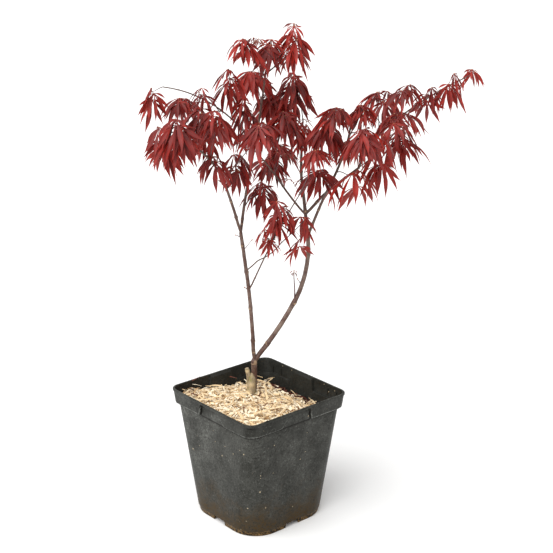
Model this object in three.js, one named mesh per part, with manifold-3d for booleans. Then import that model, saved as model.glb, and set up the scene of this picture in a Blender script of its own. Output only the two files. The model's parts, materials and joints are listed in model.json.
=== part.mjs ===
// A young maple with finely cut red leaves, grafted low and grown in a square nursery pot.
// Millimetres, +Z up. The origin is the centre of the pot's underside, with the pot's sides along X and Y.
// The plant is drawn in a frame of its own, turned about Z so that its main spread runs across a corner.
import * as THREE from 'three';
import { mergeVertices } from 'three/addons/utils/BufferGeometryUtils.js';
import Module from 'manifold-3d';

const wasm = await Module();
wasm.setup();

// ---- Pot -------------------------------------------------------------------------------------
const POT_HEIGHT = 230;
const POT_FOOT_HALF = 92;        // half the side at the ground, body line
const POT_TOP_HALF = 107;        // half the side at the rim, body line
const POT_FOOT_CORNER = 52;      // corner radius at the ground
const POT_TOP_CORNER = 18;       // corner radius at the rim
const POT_WALL = 2;
const POT_FLOOR_UNDER = 6;       // the floor stands clear of the ground
const POT_FLOOR_TOP = 9;
const SKIRT_HEIGHT = 7.5;        // inset skirt that the pot stands on
const SKIRT_INSET = 1.5;
const SKIRT_THICKNESS = 3;
const BOSS_RADIUS = 28;          // flat foot under the middle of the floor
const NOTCH = { width: 30, depth: 12, height: 9.6 };
const DRAIN = { radius: 6, ring: 55 };
const LIP_HALF = 112.5;          // half the overall width
const LIP_UNDER = 223;
const LIP_WIDTH = 3.7;
const LIP_EASE = 1;              // the lip's eased edges
const BAND_UNDER = 204;          // raised corner bands under the lip
const BAND_END_HALF = 24;        // half the plain stretch at the middle of each side
const BAND_END_RUN = 0.8;        // width of the slope at each band's end
const BAND_LEDGE_FALL = 1;       // the ledge inside slopes down to the wall by this
const BAND_PROUD_WIDE = 5;       // on the two corners across the plant's spread
const BAND_PROUD_SLIM = 3;       // on the other two corners
const CORNER_STEPS = 4;

// ---- Compost and wood-shaving mulch -----------------------------------------------------------
const CLEARANCE = 0.4;           // between pieces that touch
const COMPOST_TOP = 176;
const MULCH_LEVEL = 201;         // mean height of the mulch
const MULCH_FALL = 0.165;        // it lies lower towards +X
const MULCH_RIPPLE = 1.5;
const MULCH_RINGS = 5;

// ---- Limbs --------------------------------------------------------------------------------------
const PLANT_TURN = -39.7;        // degrees about Z from the plant's frame to the pot's
const LIMB_SIDES = 8;
const LIMB_STEP = 19;            // spacing of the rings along a limb
const FLARE_FADE = 6;            // how soon the root flare dies away up the trunk
const FORK_LEVEL = COMPOST_TOP + CLEARANCE;
const TRUNK_FOOT = [-15, 45, FORK_LEVEL];
const SCION_FOOT = [-10.5, 45, FORK_LEVEL + 24];

// Each limb: the limb it springs from and how far along it, its azimuth and its rise above the horizon
// (degrees, at foot, middle and tip), its length, and its radius at foot and tip.
const LIMBS = {
  left_stem: ['scion', 1, [-120, -140, -130], [86, 83, 79], 245, 3.7, 3],
  right_stem: ['scion', 1, [10, 15, 5], [48, 61, 96], 250, 4.3, 3.8],
  left_low_bough: ['left_stem', 1, [-115, -120, -145], [62, 60, 35], 215, 2.7, 1.6],
  left_leader: ['left_stem', 1, [35, 30, 45], [81, 77, 80], 270, 2.6, 1.5],
  far_left_bough: ['left_leader', 0.55, [-165, -175, -165], [60, 35, 10], 190, 1.5, 0.9],
  top_shoot: ['left_leader', 1, [-20, -25, -50], [40, 40, 75], 65, 1.3, 0.9],
  right_upper_bough: ['right_stem', 1, [150, 140, 0], [84, 81, 86], 190, 3.4, 1.8],
  right_front_bough: ['right_stem', 1, [-50, -50, -80], [66, 58, 61], 245, 2.8, 1.6],
  right_long_bough: ['right_upper_bough', 0.2, [15, 5, -15], [53, 39, 39], 125, 2.7, 2.1],
  right_long_tip: ['right_long_bough', 1, [-20, -12, -10], [68, 38, 28], 240, 2, 1],
  back_bough: ['right_upper_bough', 0.2, [150, 137, 147], [44, 43, 38], 155, 2, 1.3],
  low_shoot: ['left_stem', 0.68, [-40, -37, -44], [60, 31, 50], 100, 1.2, 0.8],
  inner_shoot: ['left_stem', 0.54, [-40, -42, -34], [64, 60, 57], 220, 1.4, 0.9],
};

// The pale rootstock with its cut stub, and the scion that was grafted to its side. Together they are the
// trunk, cut flat at the ground.
const ROOTSTOCK = { azimuth: [180, 180, 180], rise: [90, 87, 86], length: 73, foot: 7, tip: 5.8, flare: 2.5 };
const SCION = { azimuth: [10, 10, 10], rise: [88, 87, 88], length: 66, foot: 5.4, tip: 5.4, flare: 0 };

// Each leaf mass, under the limb that carries it: how far along the limb its twig springs, the twig's
// azimuth, reach and rise to the top of the mass, and the mass's width, thickness and drop.
const FOLIAGE = {
  top_shoot: {
    foliage_tip: [1, 0, 10, 40, 35, 40, 35],
    foliage_top: [1, -40, 20, 25, 52, 60, 75],
  },
  left_leader: {
    foliage_upper: [1, 65, 15, 58, 64, 80, 75],
    foliage_upper_left: [1, -126, 59, 65, 50, 70, 60],
    foliage_high_left: [1, -131, 92, 20, 45, 70, 70],
    foliage_high_back: [0.95, 108, 57, 11, 60, 90, 55],
    foliage_leader: [0.85, -115, 65, 15, 30, 60, 90],
    foliage_centre_back: [0.8, 80, 75, 10, 60, 80, 70],
    foliage_grey: [0.7, -85, 105, 20, 70, 80, 55],
    foliage_low_centre: [0.5, -120, 45, 10, 50, 60, 65],
    foliage_hanging: [0.3, 50, 40, 0, 50, 60, 60],
  },
  right_upper_bough: {
    foliage_shoulder: [1, 145, 15, 92, 65, 85, 85],
    foliage_bough_end: [1, 60, 15, 15, 45, 80, 65],
    foliage_centre: [1, -110, 85, 45, 50, 80, 70],
  },
  right_front_bough: {
    foliage_right_crest: [1, -175, 25, 35, 50, 80, 50],
    foliage_right_fan: [1, 55, 40, 30, 45, 70, 50],
    foliage_right_face: [1, -70, 55, 10, 55, 80, 65],
    foliage_centre_right: [0.95, 150, 45, 10, 55, 80, 65],
    foliage_right_under: [0.9, -10, 55, 8, 50, 80, 95],
    foliage_front_right: [0.85, -130, 75, 5, 50, 80, 40],
    foliage_front_low: [0.7, -76, 62, -3, 72, 80, 75],
    foliage_stem: [0.6, -140, 40, 10, 60, 70, 70],
  },
  right_long_bough: {
    foliage_inner_right: [1, -115, 35, 55, 80, 60, 45],
  },
  right_long_tip: {
    foliage_long_end: [1, 10, 15, 15, 40, 45, 50],
    foliage_long_outer: [0.95, 180, 10, 15, 45, 50, 80],
    foliage_long_inner: [0.75, 140, 5, 15, 50, 50, 65],
    foliage_arch_front: [0.7, -125, 65, 35, 55, 80, 50],
    foliage_right_edge: [0.55, -105, 50, 10, 70, 80, 65],
    foliage_arch: [0.45, 135, 45, 45, 70, 90, 60],
    foliage_right_back: [0.3, 47, 58, 5, 55, 85, 70],
  },
  far_left_bough: {
    foliage_far_left: [0.9, -160, 35, 5, 35, 55, 60],
    foliage_left_arch: [0.7, -65, 10, 15, 55, 70, 45],
    foliage_left_back: [0.5, 145, 70, 10, 45, 90, 50],
    foliage_left_inner: [0.5, -120, 45, 5, 40, 90, 90],
  },
  left_low_bough: {
    foliage_left_face: [1, -130, 40, 50, 65, 80, 95],
    foliage_left_edge: [1, 155, 62, 28, 35, 70, 80],
    foliage_left_front: [1, 0, 45, 55, 55, 70, 82],
    foliage_left_low: [0.8, -10, 5, 10, 50, 90, 60],
  },
  back_bough: {
    foliage_far_back: [0.85, 45, 55, 15, 55, 80, 50],
    foliage_low_back: [0.7, 90, 30, 10, 55, 80, 55],
  },
  inner_shoot: {
    foliage_inner: [0.9, 175, 12, 5, 68, 65, 95],
    foliage_inner_end: [0.75, 10, 35, 5, 40, 50, 85],
  },
  low_shoot: {
    foliage_low: [1, 160, 25, 25, 35, 50, 50],
  },
};
const TUFT_SIDES = 8;
const TUFT_UNEVEN = 0.16;        // how far each edge point strays from an even form, out and in
const TUFT_TURN = 0.3;           // how far it strays round the form, of one side's share
const TUFT_HEM_MIDDLE = 0.72;    // the hem is drawn up to here in the middle, of the drop
const TUFT_GROWN = 1.04;         // the room that a mass is given where another is cut round it
// Shoulder, waist and hem of a mass: how far down its drop, how wide, and how far its points rise and fall.
const TUFT_LEVELS = [
  { down: 0.13, out: 0.55, rag: 0.05 },
  { down: 0.5, out: 1, rag: 0.06 },
  { down: 0.86, out: 0.8, rag: 0.14 },
];

// ---- Colours and finishes -------------------------------------------------------------------------
const FINISH = {
  pot: { color: 0x26282a, roughness: 0.55 },
  compost: { color: 0x2e1d15, roughness: 0.95 },
  mulch: { color: 0xd9bd86, roughness: 0.9 },
  trunk: { color: 0xa08c6c, roughness: 0.85 },
  limb: { color: 0x4b332f, roughness: 0.7 },
  foliage: { color: 0x8a2b2b, roughness: 0.6 },
};

const lerp = THREE.MathUtils.lerp;
const radians = THREE.MathUtils.degToRad;

// ---- Solids ------------------------------------------------------------------------------------
// Closed geometry from rings of equal count, with a fan to a point at each end.
function skin(rings, startPoint, endPoint) {
  const count = rings[0].length;
  const points = rings.flat();
  const faces = [];
  const start = points.push(startPoint) - 1;
  const end = points.push(endPoint) - 1;
  const last = (rings.length - 1) * count;
  for (let i = 0; i < count; i += 1) {
    const next = (i + 1) % count;
    faces.push(start, next, i);
    for (let r = 0; r < rings.length - 1; r += 1) {
      const low = r * count;
      const high = low + count;
      faces.push(low + i, low + next, high + next);
      faces.push(low + i, high + next, high + i);
    }
    faces.push(end, last + i, last + next);
  }
  const geometry = new THREE.BufferGeometry();
  geometry.setAttribute('position', new THREE.Float32BufferAttribute(points.flatMap((p) => p.toArray()), 3));
  geometry.setIndex(faces);
  return geometry;
}

function toSolid(geometry) {
  const bare = geometry.clone();
  bare.deleteAttribute('normal');
  bare.deleteAttribute('uv');
  const merged = mergeVertices(bare, 1e-4);
  const mesh = new wasm.Mesh({
    numProp: 3,
    vertProperties: new Float32Array(merged.attributes.position.array),
    triVerts: new Uint32Array(merged.index.array),
  });
  return new wasm.Manifold(mesh);
}

function toGeometry(solid) {
  const { vertProperties, triVerts } = solid.getMesh();
  const geometry = new THREE.BufferGeometry();
  geometry.setAttribute('position', new THREE.BufferAttribute(new Float32Array(vertProperties), 3));
  geometry.setIndex(new THREE.BufferAttribute(new Uint32Array(triVerts), 1));
  return geometry;
}

function largestPiece(solid) {
  const pieces = solid.decompose();
  return pieces.reduce((best, piece) => (piece.volume() > best.volume() ? piece : best));
}

function boxesMeet(a, b) {
  const p = a.boundingBox();
  const q = b.boundingBox();
  return [0, 1, 2].every((k) => p.min[k] < q.max[k] && q.min[k] < p.max[k]);
}

// The solid with every neighbour that reaches it cut away.
function cutRound(solid, neighbours) {
  const near = neighbours.filter((other) => boxesMeet(solid, other));
  return largestPiece(near.reduce((rest, other) => rest.subtract(other), solid));
}

function makeMesh(name, geometry, finish) {
  const mesh = new THREE.Mesh(geometry, new THREE.MeshStandardMaterial({ ...finish, metalness: 0 }));
  mesh.name = name;
  return mesh;
}

// ---- Pot, compost and mulch ---------------------------------------------------------------------
const bodyHalf = (z) => lerp(POT_FOOT_HALF, POT_TOP_HALF, z / POT_HEIGHT);
const bodyCorner = (z) => lerp(POT_FOOT_CORNER, POT_TOP_CORNER, z / POT_HEIGHT);

// A rounded square at height z, with each corner stretch pushed out by its own band height.
function potOutline(z, half, corner, bandScale = 0) {
  const points = [];
  for (let k = 0; k < 4; k += 1) {
    const proud = bandScale * (k % 2 ? BAND_PROUD_WIDE : BAND_PROUD_SLIM);
    const turn = (k * Math.PI) / 2;
    const reach = half + proud;
    const place = (x, y) => new THREE.Vector3(x, y, z).applyAxisAngle(new THREE.Vector3(0, 0, 1), turn);
    points.push(place(half, BAND_END_HALF - BAND_END_RUN));
    points.push(place(reach, BAND_END_HALF));
    for (let s = 0; s <= CORNER_STEPS; s += 1) {
      const angle = (s / CORNER_STEPS) * (Math.PI / 2);
      const centre = reach - corner;
      points.push(place(centre + corner * Math.cos(angle), centre + corner * Math.sin(angle)));
    }
    points.push(place(BAND_END_HALF, reach));
    points.push(place(BAND_END_HALF - BAND_END_RUN, half));
  }
  return points;
}

// A plain rounded square that fits inside the pot's wall at height z.
function insideOutline(z, clearance = CLEARANCE, scale = 1) {
  const half = bodyHalf(z) - POT_WALL - clearance;
  const outline = potOutline(z, half, bodyCorner(z) - POT_WALL);
  return outline.map((p) => new THREE.Vector3(p.x * scale, p.y * scale, z));
}

// The pot's shell, from under the floor, round the skirt, up the outside, over the lip and down inside.
function potShell() {
  const cornerAt = (z, inset) => bodyCorner(z) - Math.min(inset, POT_WALL);
  const body = (z, inset = 0, band = 0) => potOutline(z, bodyHalf(z) - inset, cornerAt(z, inset), band);
  const lip = (z, inset) => potOutline(z, LIP_HALF - inset, POT_TOP_CORNER - inset / 2);
  const skirtIn = SKIRT_INSET + SKIRT_THICKNESS;
  const rings = [
    body(POT_FLOOR_UNDER, skirtIn),
    body(0, skirtIn),
    body(0, SKIRT_INSET),
    body(SKIRT_HEIGHT, SKIRT_INSET),
    body(SKIRT_HEIGHT + 1),
    body(BAND_UNDER),
    body(BAND_UNDER, 0, 1),
    body(LIP_UNDER, 0, 1),
    lip(LIP_UNDER, LIP_EASE),
    lip(LIP_UNDER + LIP_EASE, 0),
    lip(POT_HEIGHT - LIP_EASE, 0),
    lip(POT_HEIGHT, LIP_EASE),
    lip(POT_HEIGHT, LIP_WIDTH),
    body(LIP_UNDER + POT_WALL, POT_WALL, 1),
    body(BAND_UNDER + POT_WALL, POT_WALL, 1),
    body(BAND_UNDER + POT_WALL - BAND_LEDGE_FALL, POT_WALL),
    body(POT_FLOOR_TOP, POT_WALL),
  ];
  const under = new THREE.Vector3(0, 0, POT_FLOOR_UNDER);
  const floor = new THREE.Vector3(0, 0, POT_FLOOR_TOP);
  return toSolid(skin(rings, under, floor));
}

function makePot() {
  let pot = potShell();
  const boss = new THREE.CylinderGeometry(BOSS_RADIUS, BOSS_RADIUS, POT_FLOOR_UNDER + 1, 24);
  boss.rotateX(Math.PI / 2).translate(0, 0, (POT_FLOOR_UNDER + 1) / 2);
  pot = pot.add(toSolid(boss));
  for (let k = 0; k < 4; k += 1) {
    const side = (k * Math.PI) / 2;
    const notch = new THREE.BoxGeometry(2 * NOTCH.depth, NOTCH.width, 2 * NOTCH.height);
    notch.translate(POT_FOOT_HALF, 0, 0).rotateZ(side);
    const drain = new THREE.CylinderGeometry(DRAIN.radius, DRAIN.radius, 4 * POT_FLOOR_TOP, 10);
    drain.rotateX(Math.PI / 2).translate(DRAIN.ring, 0, 0).rotateZ(side + Math.PI / 4);
    pot = pot.subtract(toSolid(notch)).subtract(toSolid(drain));
  }
  return makeMesh('pot', toGeometry(pot), FINISH.pot);
}

function makeCompost() {
  const foot = POT_FLOOR_TOP + CLEARANCE;
  const rings = [insideOutline(foot), insideOutline(COMPOST_TOP)];
  const geometry = skin(rings, new THREE.Vector3(0, 0, foot), new THREE.Vector3(0, 0, COMPOST_TOP));
  return makeMesh('compost', geometry, FINISH.compost);
}

// The mulch's top, sloping and gently rippled.
function mulchHeight(x, y) {
  const ripple = Math.sin(x / 17 + 1) * Math.cos(y / 21) + Math.sin((x + y) / 11);
  return MULCH_LEVEL - MULCH_FALL * x + MULCH_RIPPLE * ripple;
}

function makeMulch(trunkRoom) {
  const foot = COMPOST_TOP + CLEARANCE;
  const laid = (p) => new THREE.Vector3(p.x, p.y, mulchHeight(p.x, p.y));
  const rings = [insideOutline(foot)];
  for (let r = MULCH_RINGS; r > 0; r -= 1) {
    rings.push(insideOutline(foot, CLEARANCE, r / MULCH_RINGS).map(laid));
  }
  const top = new THREE.Vector3(0, 0, mulchHeight(0, 0));
  const mulch = toSolid(skin(rings, new THREE.Vector3(0, 0, foot), top)).subtract(trunkRoom);
  return makeMesh('mulch', toGeometry(mulch), FINISH.mulch);
}

// ---- Limbs ------------------------------------------------------------------------------------
// A value given at foot, middle and tip, read at a fraction t of the length.
function along([foot, middle, tip], t) {
  return t < 0.5 ? lerp(foot, middle, 2 * t) : lerp(middle, tip, 2 * t - 1);
}

function heading(limb, t) {
  const azimuth = radians(along(limb.azimuth, t));
  const rise = radians(along(limb.rise, t));
  const level = Math.cos(rise);
  return new THREE.Vector3(level * Math.cos(azimuth), level * Math.sin(azimuth), Math.sin(rise));
}

// The centre line that a limb's headings lead it along, from its start.
function growLine(start, limb) {
  const steps = Math.max(3, Math.round(limb.length / LIMB_STEP));
  const line = [start.clone()];
  for (let i = 0; i < steps; i += 1) {
    const step = heading(limb, (i + 0.5) / steps).multiplyScalar(limb.length / steps);
    line.push(line[i].clone().add(step));
  }
  return line;
}

function pointOn(line, t) {
  const place = t * (line.length - 1);
  const i = Math.min(Math.floor(place), line.length - 2);
  return line[i].clone().lerp(line[i + 1], place - i);
}

// A tapering round limb along its line. Room is what it is grown by, all over, to cut round it.
function limbSolid(line, limb, room = 0) {
  const last = line.length - 1;
  const rings = line.map((centre, i) => {
    const t = i / last;
    const forward = heading(limb, t);
    const sideways = new THREE.Vector3(0, 1, 0).cross(forward).normalize();
    const upward = forward.clone().cross(sideways);
    const flare = limb.flare * (1 - t) ** FLARE_FADE;
    const radius = lerp(limb.foot, limb.tip, t) + flare + room;
    const shift = i === 0 ? -room : i === last ? room : 0;
    const middle = centre.clone().addScaledVector(forward, shift);
    return Array.from({ length: LIMB_SIDES }, (_, k) => {
      const angle = (2 * Math.PI * k) / LIMB_SIDES;
      const out = sideways.clone().multiplyScalar(Math.cos(angle)).addScaledVector(upward, Math.sin(angle));
      return middle.clone().addScaledVector(out, radius);
    });
  });
  const middleOf = (ring) => ring[0].clone().lerp(ring[LIMB_SIDES / 2], 0.5);
  return toSolid(skin(rings, middleOf(rings[0]), middleOf(rings[last])));
}

// ---- Foliage ----------------------------------------------------------------------------------
// Repeatable unevenness in -1..1.
function stray(seed) {
  const wave = Math.sin(seed * 127.1 + 3.7) * 43758.5453;
  return 2 * (wave - Math.floor(wave)) - 1;
}

// One drooping spray: a narrow top, a full waist and a ragged hem drawn up in the middle.
function tuftGeometry(width, thickness, drop, seed) {
  const rings = TUFT_LEVELS.map((level, r) => Array.from({ length: TUFT_SIDES }, (_, k) => {
    const chance = seed * 31 + r * TUFT_SIDES + k;
    const angle = (2 * Math.PI * (k + TUFT_TURN * stray(chance + 0.5))) / TUFT_SIDES;
    const out = level.out * (1 + TUFT_UNEVEN * stray(chance));
    const down = level.down + level.rag * (k % 2 ? 1 : -1);
    return new THREE.Vector3(out * Math.cos(angle), out * Math.sin(angle), -down);
  }));
  const hemMiddle = new THREE.Vector3(0, 0, -TUFT_HEM_MIDDLE);
  const geometry = skin(rings.reverse(), hemMiddle, new THREE.Vector3());
  geometry.computeBoundingBox();
  const size = geometry.boundingBox.getSize(new THREE.Vector3());
  const middle = geometry.boundingBox.getCenter(new THREE.Vector3());
  geometry.translate(-middle.x, -middle.y, -geometry.boundingBox.max.z);
  return geometry.scale(width / size.x, thickness / size.y, drop / size.z);
}

// The same geometry grown about its own middle.
function grown(geometry, factor) {
  geometry.computeBoundingBox();
  const middle = geometry.boundingBox.getCenter(new THREE.Vector3());
  const larger = geometry.clone().translate(-middle.x, -middle.y, -middle.z);
  return larger.scale(factor, factor, factor).translate(middle.x, middle.y, middle.z);
}

// ---- Plant ------------------------------------------------------------------------------------
// Every limb and mass in turn, each cut round the ones before it. Rooms are the solids made so far, grown
// by the clearance.
function makePlant() {
  const meshes = [];
  const rooms = [];
  const lines = {
    rootstock: growLine(new THREE.Vector3(...TRUNK_FOOT), ROOTSTOCK),
    scion: growLine(new THREE.Vector3(...SCION_FOOT), SCION),
  };
  const trunkWith = (room) => {
    const rootstock = limbSolid(lines.rootstock, ROOTSTOCK, room);
    return rootstock.add(limbSolid(lines.scion, SCION, room));
  };
  meshes.push(makeMesh('trunk', toGeometry(trunkWith(0)), FINISH.trunk));
  const trunkRoom = trunkWith(CLEARANCE);
  rooms.push(trunkRoom);

  for (const [name, [from, at, azimuth, rise, length, foot, tip]] of Object.entries(LIMBS)) {
    const limb = { azimuth, rise, length, foot, tip, flare: 0 };
    lines[name] = growLine(pointOn(lines[from], at), limb);
    const solid = cutRound(limbSolid(lines[name], limb), rooms);
    meshes.push(makeMesh(name, toGeometry(solid), FINISH.limb));
    rooms.push(limbSolid(lines[name], limb, CLEARANCE));
  }

  let seed = 0;
  for (const [limbName, masses] of Object.entries(FOLIAGE)) {
    for (const [name, [at, azimuth, reach, rise, width, thickness, drop]] of Object.entries(masses)) {
      seed += 1;
      const angle = radians(azimuth);
      const top = pointOn(lines[limbName], at);
      top.add(new THREE.Vector3(reach * Math.cos(angle), reach * Math.sin(angle), rise));
      const geometry = tuftGeometry(width, thickness, drop, seed).translate(top.x, top.y, top.z);
      const solid = cutRound(toSolid(geometry), rooms);
      meshes.push(makeMesh(name, toGeometry(solid), FINISH.foliage));
      rooms.push(toSolid(grown(geometry, TUFT_GROWN)));
    }
  }
  return { meshes, trunkRoom };
}

const plant = new THREE.Group();
plant.rotation.z = radians(PLANT_TURN);
const { meshes, trunkRoom } = makePlant();
plant.add(...meshes);

const tree = new THREE.Group();
tree.add(makePot(), makeCompost(), makeMulch(trunkRoom.rotate([0, 0, PLANT_TURN])), plant);

export default tree;
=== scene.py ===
"""A young red maple in a square nursery pot: pot, mulch, bark, twigs and leaves made round a CAD model."""
import collections
import functools
import json
import math
import random

import bmesh
import bpy
import numpy as np
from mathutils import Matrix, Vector
from mathutils.bvhtree import BVHTree

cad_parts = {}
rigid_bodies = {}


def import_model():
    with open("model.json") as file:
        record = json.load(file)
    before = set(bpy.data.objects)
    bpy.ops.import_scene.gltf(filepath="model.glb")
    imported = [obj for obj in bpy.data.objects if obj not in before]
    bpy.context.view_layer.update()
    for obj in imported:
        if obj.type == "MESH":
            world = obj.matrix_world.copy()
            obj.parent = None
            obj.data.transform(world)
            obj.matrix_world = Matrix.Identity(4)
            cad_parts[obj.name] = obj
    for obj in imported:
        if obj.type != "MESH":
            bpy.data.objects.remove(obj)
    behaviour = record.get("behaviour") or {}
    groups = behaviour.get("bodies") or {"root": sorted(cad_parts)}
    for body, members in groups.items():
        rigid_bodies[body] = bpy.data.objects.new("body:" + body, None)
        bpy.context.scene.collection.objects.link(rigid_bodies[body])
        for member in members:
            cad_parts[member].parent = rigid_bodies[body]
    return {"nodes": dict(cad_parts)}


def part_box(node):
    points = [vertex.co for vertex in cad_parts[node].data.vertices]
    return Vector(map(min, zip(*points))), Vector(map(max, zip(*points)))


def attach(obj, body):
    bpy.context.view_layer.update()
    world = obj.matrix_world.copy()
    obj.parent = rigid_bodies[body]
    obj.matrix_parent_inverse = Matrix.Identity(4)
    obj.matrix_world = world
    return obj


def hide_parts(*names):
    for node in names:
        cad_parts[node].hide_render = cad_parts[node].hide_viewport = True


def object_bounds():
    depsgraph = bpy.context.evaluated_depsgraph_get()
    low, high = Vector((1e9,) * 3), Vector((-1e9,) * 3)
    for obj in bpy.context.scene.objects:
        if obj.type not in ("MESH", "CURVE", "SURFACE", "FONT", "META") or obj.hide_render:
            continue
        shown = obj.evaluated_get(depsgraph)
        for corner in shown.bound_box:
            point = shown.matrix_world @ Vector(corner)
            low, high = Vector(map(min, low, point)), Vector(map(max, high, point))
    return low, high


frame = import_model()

bl_info = {
    "name": "Potted Red Maple",
    "version": (1, 0, 0),
    "blender": (4, 5, 0),
    "location": "3D View > Sidebar > Maple",
    "description": "Grows a young red maple in its nursery pot around the CAD model",
    "category": "Add Mesh",
}

MM = 0.001
BODY = "root"
CAD_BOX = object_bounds()
LIMB_SIDES = 8                   # points round each ring of a CAD limb
WELD = 1e-5
MOST_FORMS = 99                  # highest number drawn to pick a form; it wraps round the forms there are
UP = np.array([0.0, 0.0, 1.0])

MASSES = sorted(name for name in frame["nodes"] if name.startswith("foliage_"))
LIMBS = sorted(set(frame["nodes"]) - set(MASSES) - {"pot", "compost", "mulch", "trunk"})

Line = collections.namedtuple("Line", "points radii")
Mass = collections.namedtuple("Mass", "tree spots top middle drop half")
Leaf = collections.namedtuple("Leaf", "place turn size form")
Spray = collections.namedtuple("Spray", "node tone twigs petioles leaves buds")


# ---- Colours, properties and nodes ----
def paint(code):
    """An sRGB hex colour as linear red, green, blue and alpha."""
    parts = [int(code[i:i + 2], 16) / 255 for i in (1, 3, 5)]
    return [c / 12.92 if c <= 0.04045 else ((c + 0.055) / 1.055) ** 2.4 for c in parts] + [1.0]


def length(name, text, millimetres):
    """A length shown in the scene's units, with its default in millimetres."""
    return bpy.props.FloatProperty(
        name=name, description=text, default=millimetres * MM, subtype="DISTANCE", unit="LENGTH", precision=4
    )


def colour(name, text, code):
    """A colour, with its default as an sRGB hex value."""
    return bpy.props.FloatVectorProperty(
        name=name, description=text, default=paint(code), size=4, min=0, max=1, subtype="COLOR"
    )


def share(name, text, value):
    """A plain number from 0 to 1."""
    return bpy.props.FloatProperty(name=name, description=text, default=value, min=0, max=1, subtype="FACTOR")


def count(name, text, value):
    """A whole number."""
    return bpy.props.IntProperty(name=name, description=text, default=value, min=0)


def angle(name, text, degrees):
    """An angle, with its default in degrees."""
    return bpy.props.FloatProperty(
        name=name, description=text, default=math.radians(degrees), subtype="ANGLE", unit="ROTATION"
    )


def number(name, text, value):
    """A plain number that isn't below 0."""
    return bpy.props.FloatProperty(name=name, description=text, default=value, min=0)


def add_node(tree, kind, inputs=(), out=None, **settings):
    """One node with its settings, and its inputs set or linked by name, or in order, where None skips one.

    A kind with no Node in its name is a shader node, and a word after the kind is its operation or data type.
    Gives the wanted output, or else the first one shown.
    """
    kind, _, mode = kind.partition(" ")
    node = tree.nodes.new(kind if "Node" in kind else "ShaderNode" + kind)
    if mode:
        settings["operation" if hasattr(node, "operation") else "data_type"] = mode
    for name, value in settings.items():
        setattr(node, name, value)
    if isinstance(inputs, dict):
        pairs = [(node.inputs[name], value) for name, value in inputs.items()]
    else:
        pairs = zip([socket for socket in node.inputs if socket.enabled], inputs)
    for socket, value in pairs:
        if isinstance(value, bpy.types.NodeSocket):
            tree.links.new(value, socket)
        elif value is not None:
            socket.default_value = value
    return node.outputs[out] if out else next((socket for socket in node.outputs if socket.enabled), node)


def per(millimetres):
    """The pattern scale, in repeats per metre, of a feature of this size."""
    return 1 / (millimetres * MM)


def surface(name, build):
    """A material whose Principled settings are what build gives, when it may add nodes and has the place."""
    material = bpy.data.materials.new(name)
    material.use_nodes = True
    material.node_tree.nodes.clear()
    add = functools.partial(add_node, material.node_tree)
    shader = add("BsdfPrincipled", build(add, add("TexCoord", out="Object")))
    add("OutputMaterial", {"Surface": shader})
    return material


# ---- Meshes and pieces ----
def unit(vector):
    """The vector at length one."""
    return vector / np.linalg.norm(vector)


def make_mesh(name, points, faces, materials=(), sharp_above=math.inf):
    """A smooth mesh with outward faces, and with sharp edges above an angle in degrees."""
    mesh = bpy.data.meshes.new(name)
    mesh.from_pydata([tuple(p) for p in points], [], [tuple(int(i) for i in f) for f in faces])
    shape = bmesh.new()
    shape.from_mesh(mesh)
    bmesh.ops.recalc_face_normals(shape, faces=shape.faces)
    for face in shape.faces:
        face.smooth = True
    for edge in shape.edges:
        edge.smooth = edge.calc_face_angle(0) <= math.radians(sharp_above)
    shape.to_mesh(mesh)
    shape.free()
    for material in materials:
        mesh.materials.append(material)
    return mesh


def put_attribute(mesh, name, kind, domain, values):
    """A named attribute on a mesh, from one value or vector an element."""
    attribute = mesh.attributes.new(name, kind, domain)
    key = "vector" if kind == "FLOAT_VECTOR" else "value"
    attribute.data.foreach_set(key, np.asarray(values, float if "FLOAT" in kind else int).ravel())


def put_object(name, mesh):
    """A new object at the origin that shows the mesh."""
    item = bpy.data.objects.new(name, mesh)
    bpy.context.scene.collection.objects.link(item)
    return item


def settle(piece, slot, *nodes):
    """The piece rides on the plant's one body and stands for CAD nodes; its slot is not used."""
    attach(piece, BODY)
    if nodes:
        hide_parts(*nodes)
    return piece


def skin(rings):
    """Points and faces of a closed form: rings of equal count, with a fan to the middle of each end."""
    rings = np.asarray(rings, float)
    levels, sides = rings.shape[:2]
    points = np.vstack([rings.reshape(-1, 3), rings[0].mean(0), rings[-1].mean(0)])
    start, end = levels * sides, levels * sides + 1
    top = (levels - 1) * sides
    faces = []
    for i in range(sides):
        following = (i + 1) % sides
        faces.append((start, following, i))
        faces.append((end, top + i, top + following))
        for level in range(levels - 1):
            low, high = level * sides, (level + 1) * sides
            faces.append((low + i, low + following, high + following, high + i))
    return points, faces


def joined(solids):
    """Several sets of points and faces as one."""
    points, faces, base = [], [], 0
    for more_points, more_faces in solids:
        points.append(np.asarray(more_points, float))
        faces += [tuple(base + i for i in face) for face in more_faces]
        base += len(more_points)
    return np.vstack(points), faces


# ---- Geometry Nodes ----
def new_tree(name, sockets):
    """A Geometry Nodes tree with named inputs: the tree, its input sockets and the way to add its nodes."""
    tree = bpy.data.node_groups.new(name, "GeometryNodeTree")
    for way in ("INPUT", "OUTPUT"):
        tree.interface.new_socket(name="Geometry", in_out=way, socket_type="NodeSocketGeometry")
    for label, kind in sockets.items():
        tree.interface.new_socket(name=label, in_out="INPUT", socket_type=f"NodeSocket{kind}")
    return tree, tree.nodes.new("NodeGroupInput").outputs, functools.partial(add_node, tree)


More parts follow.
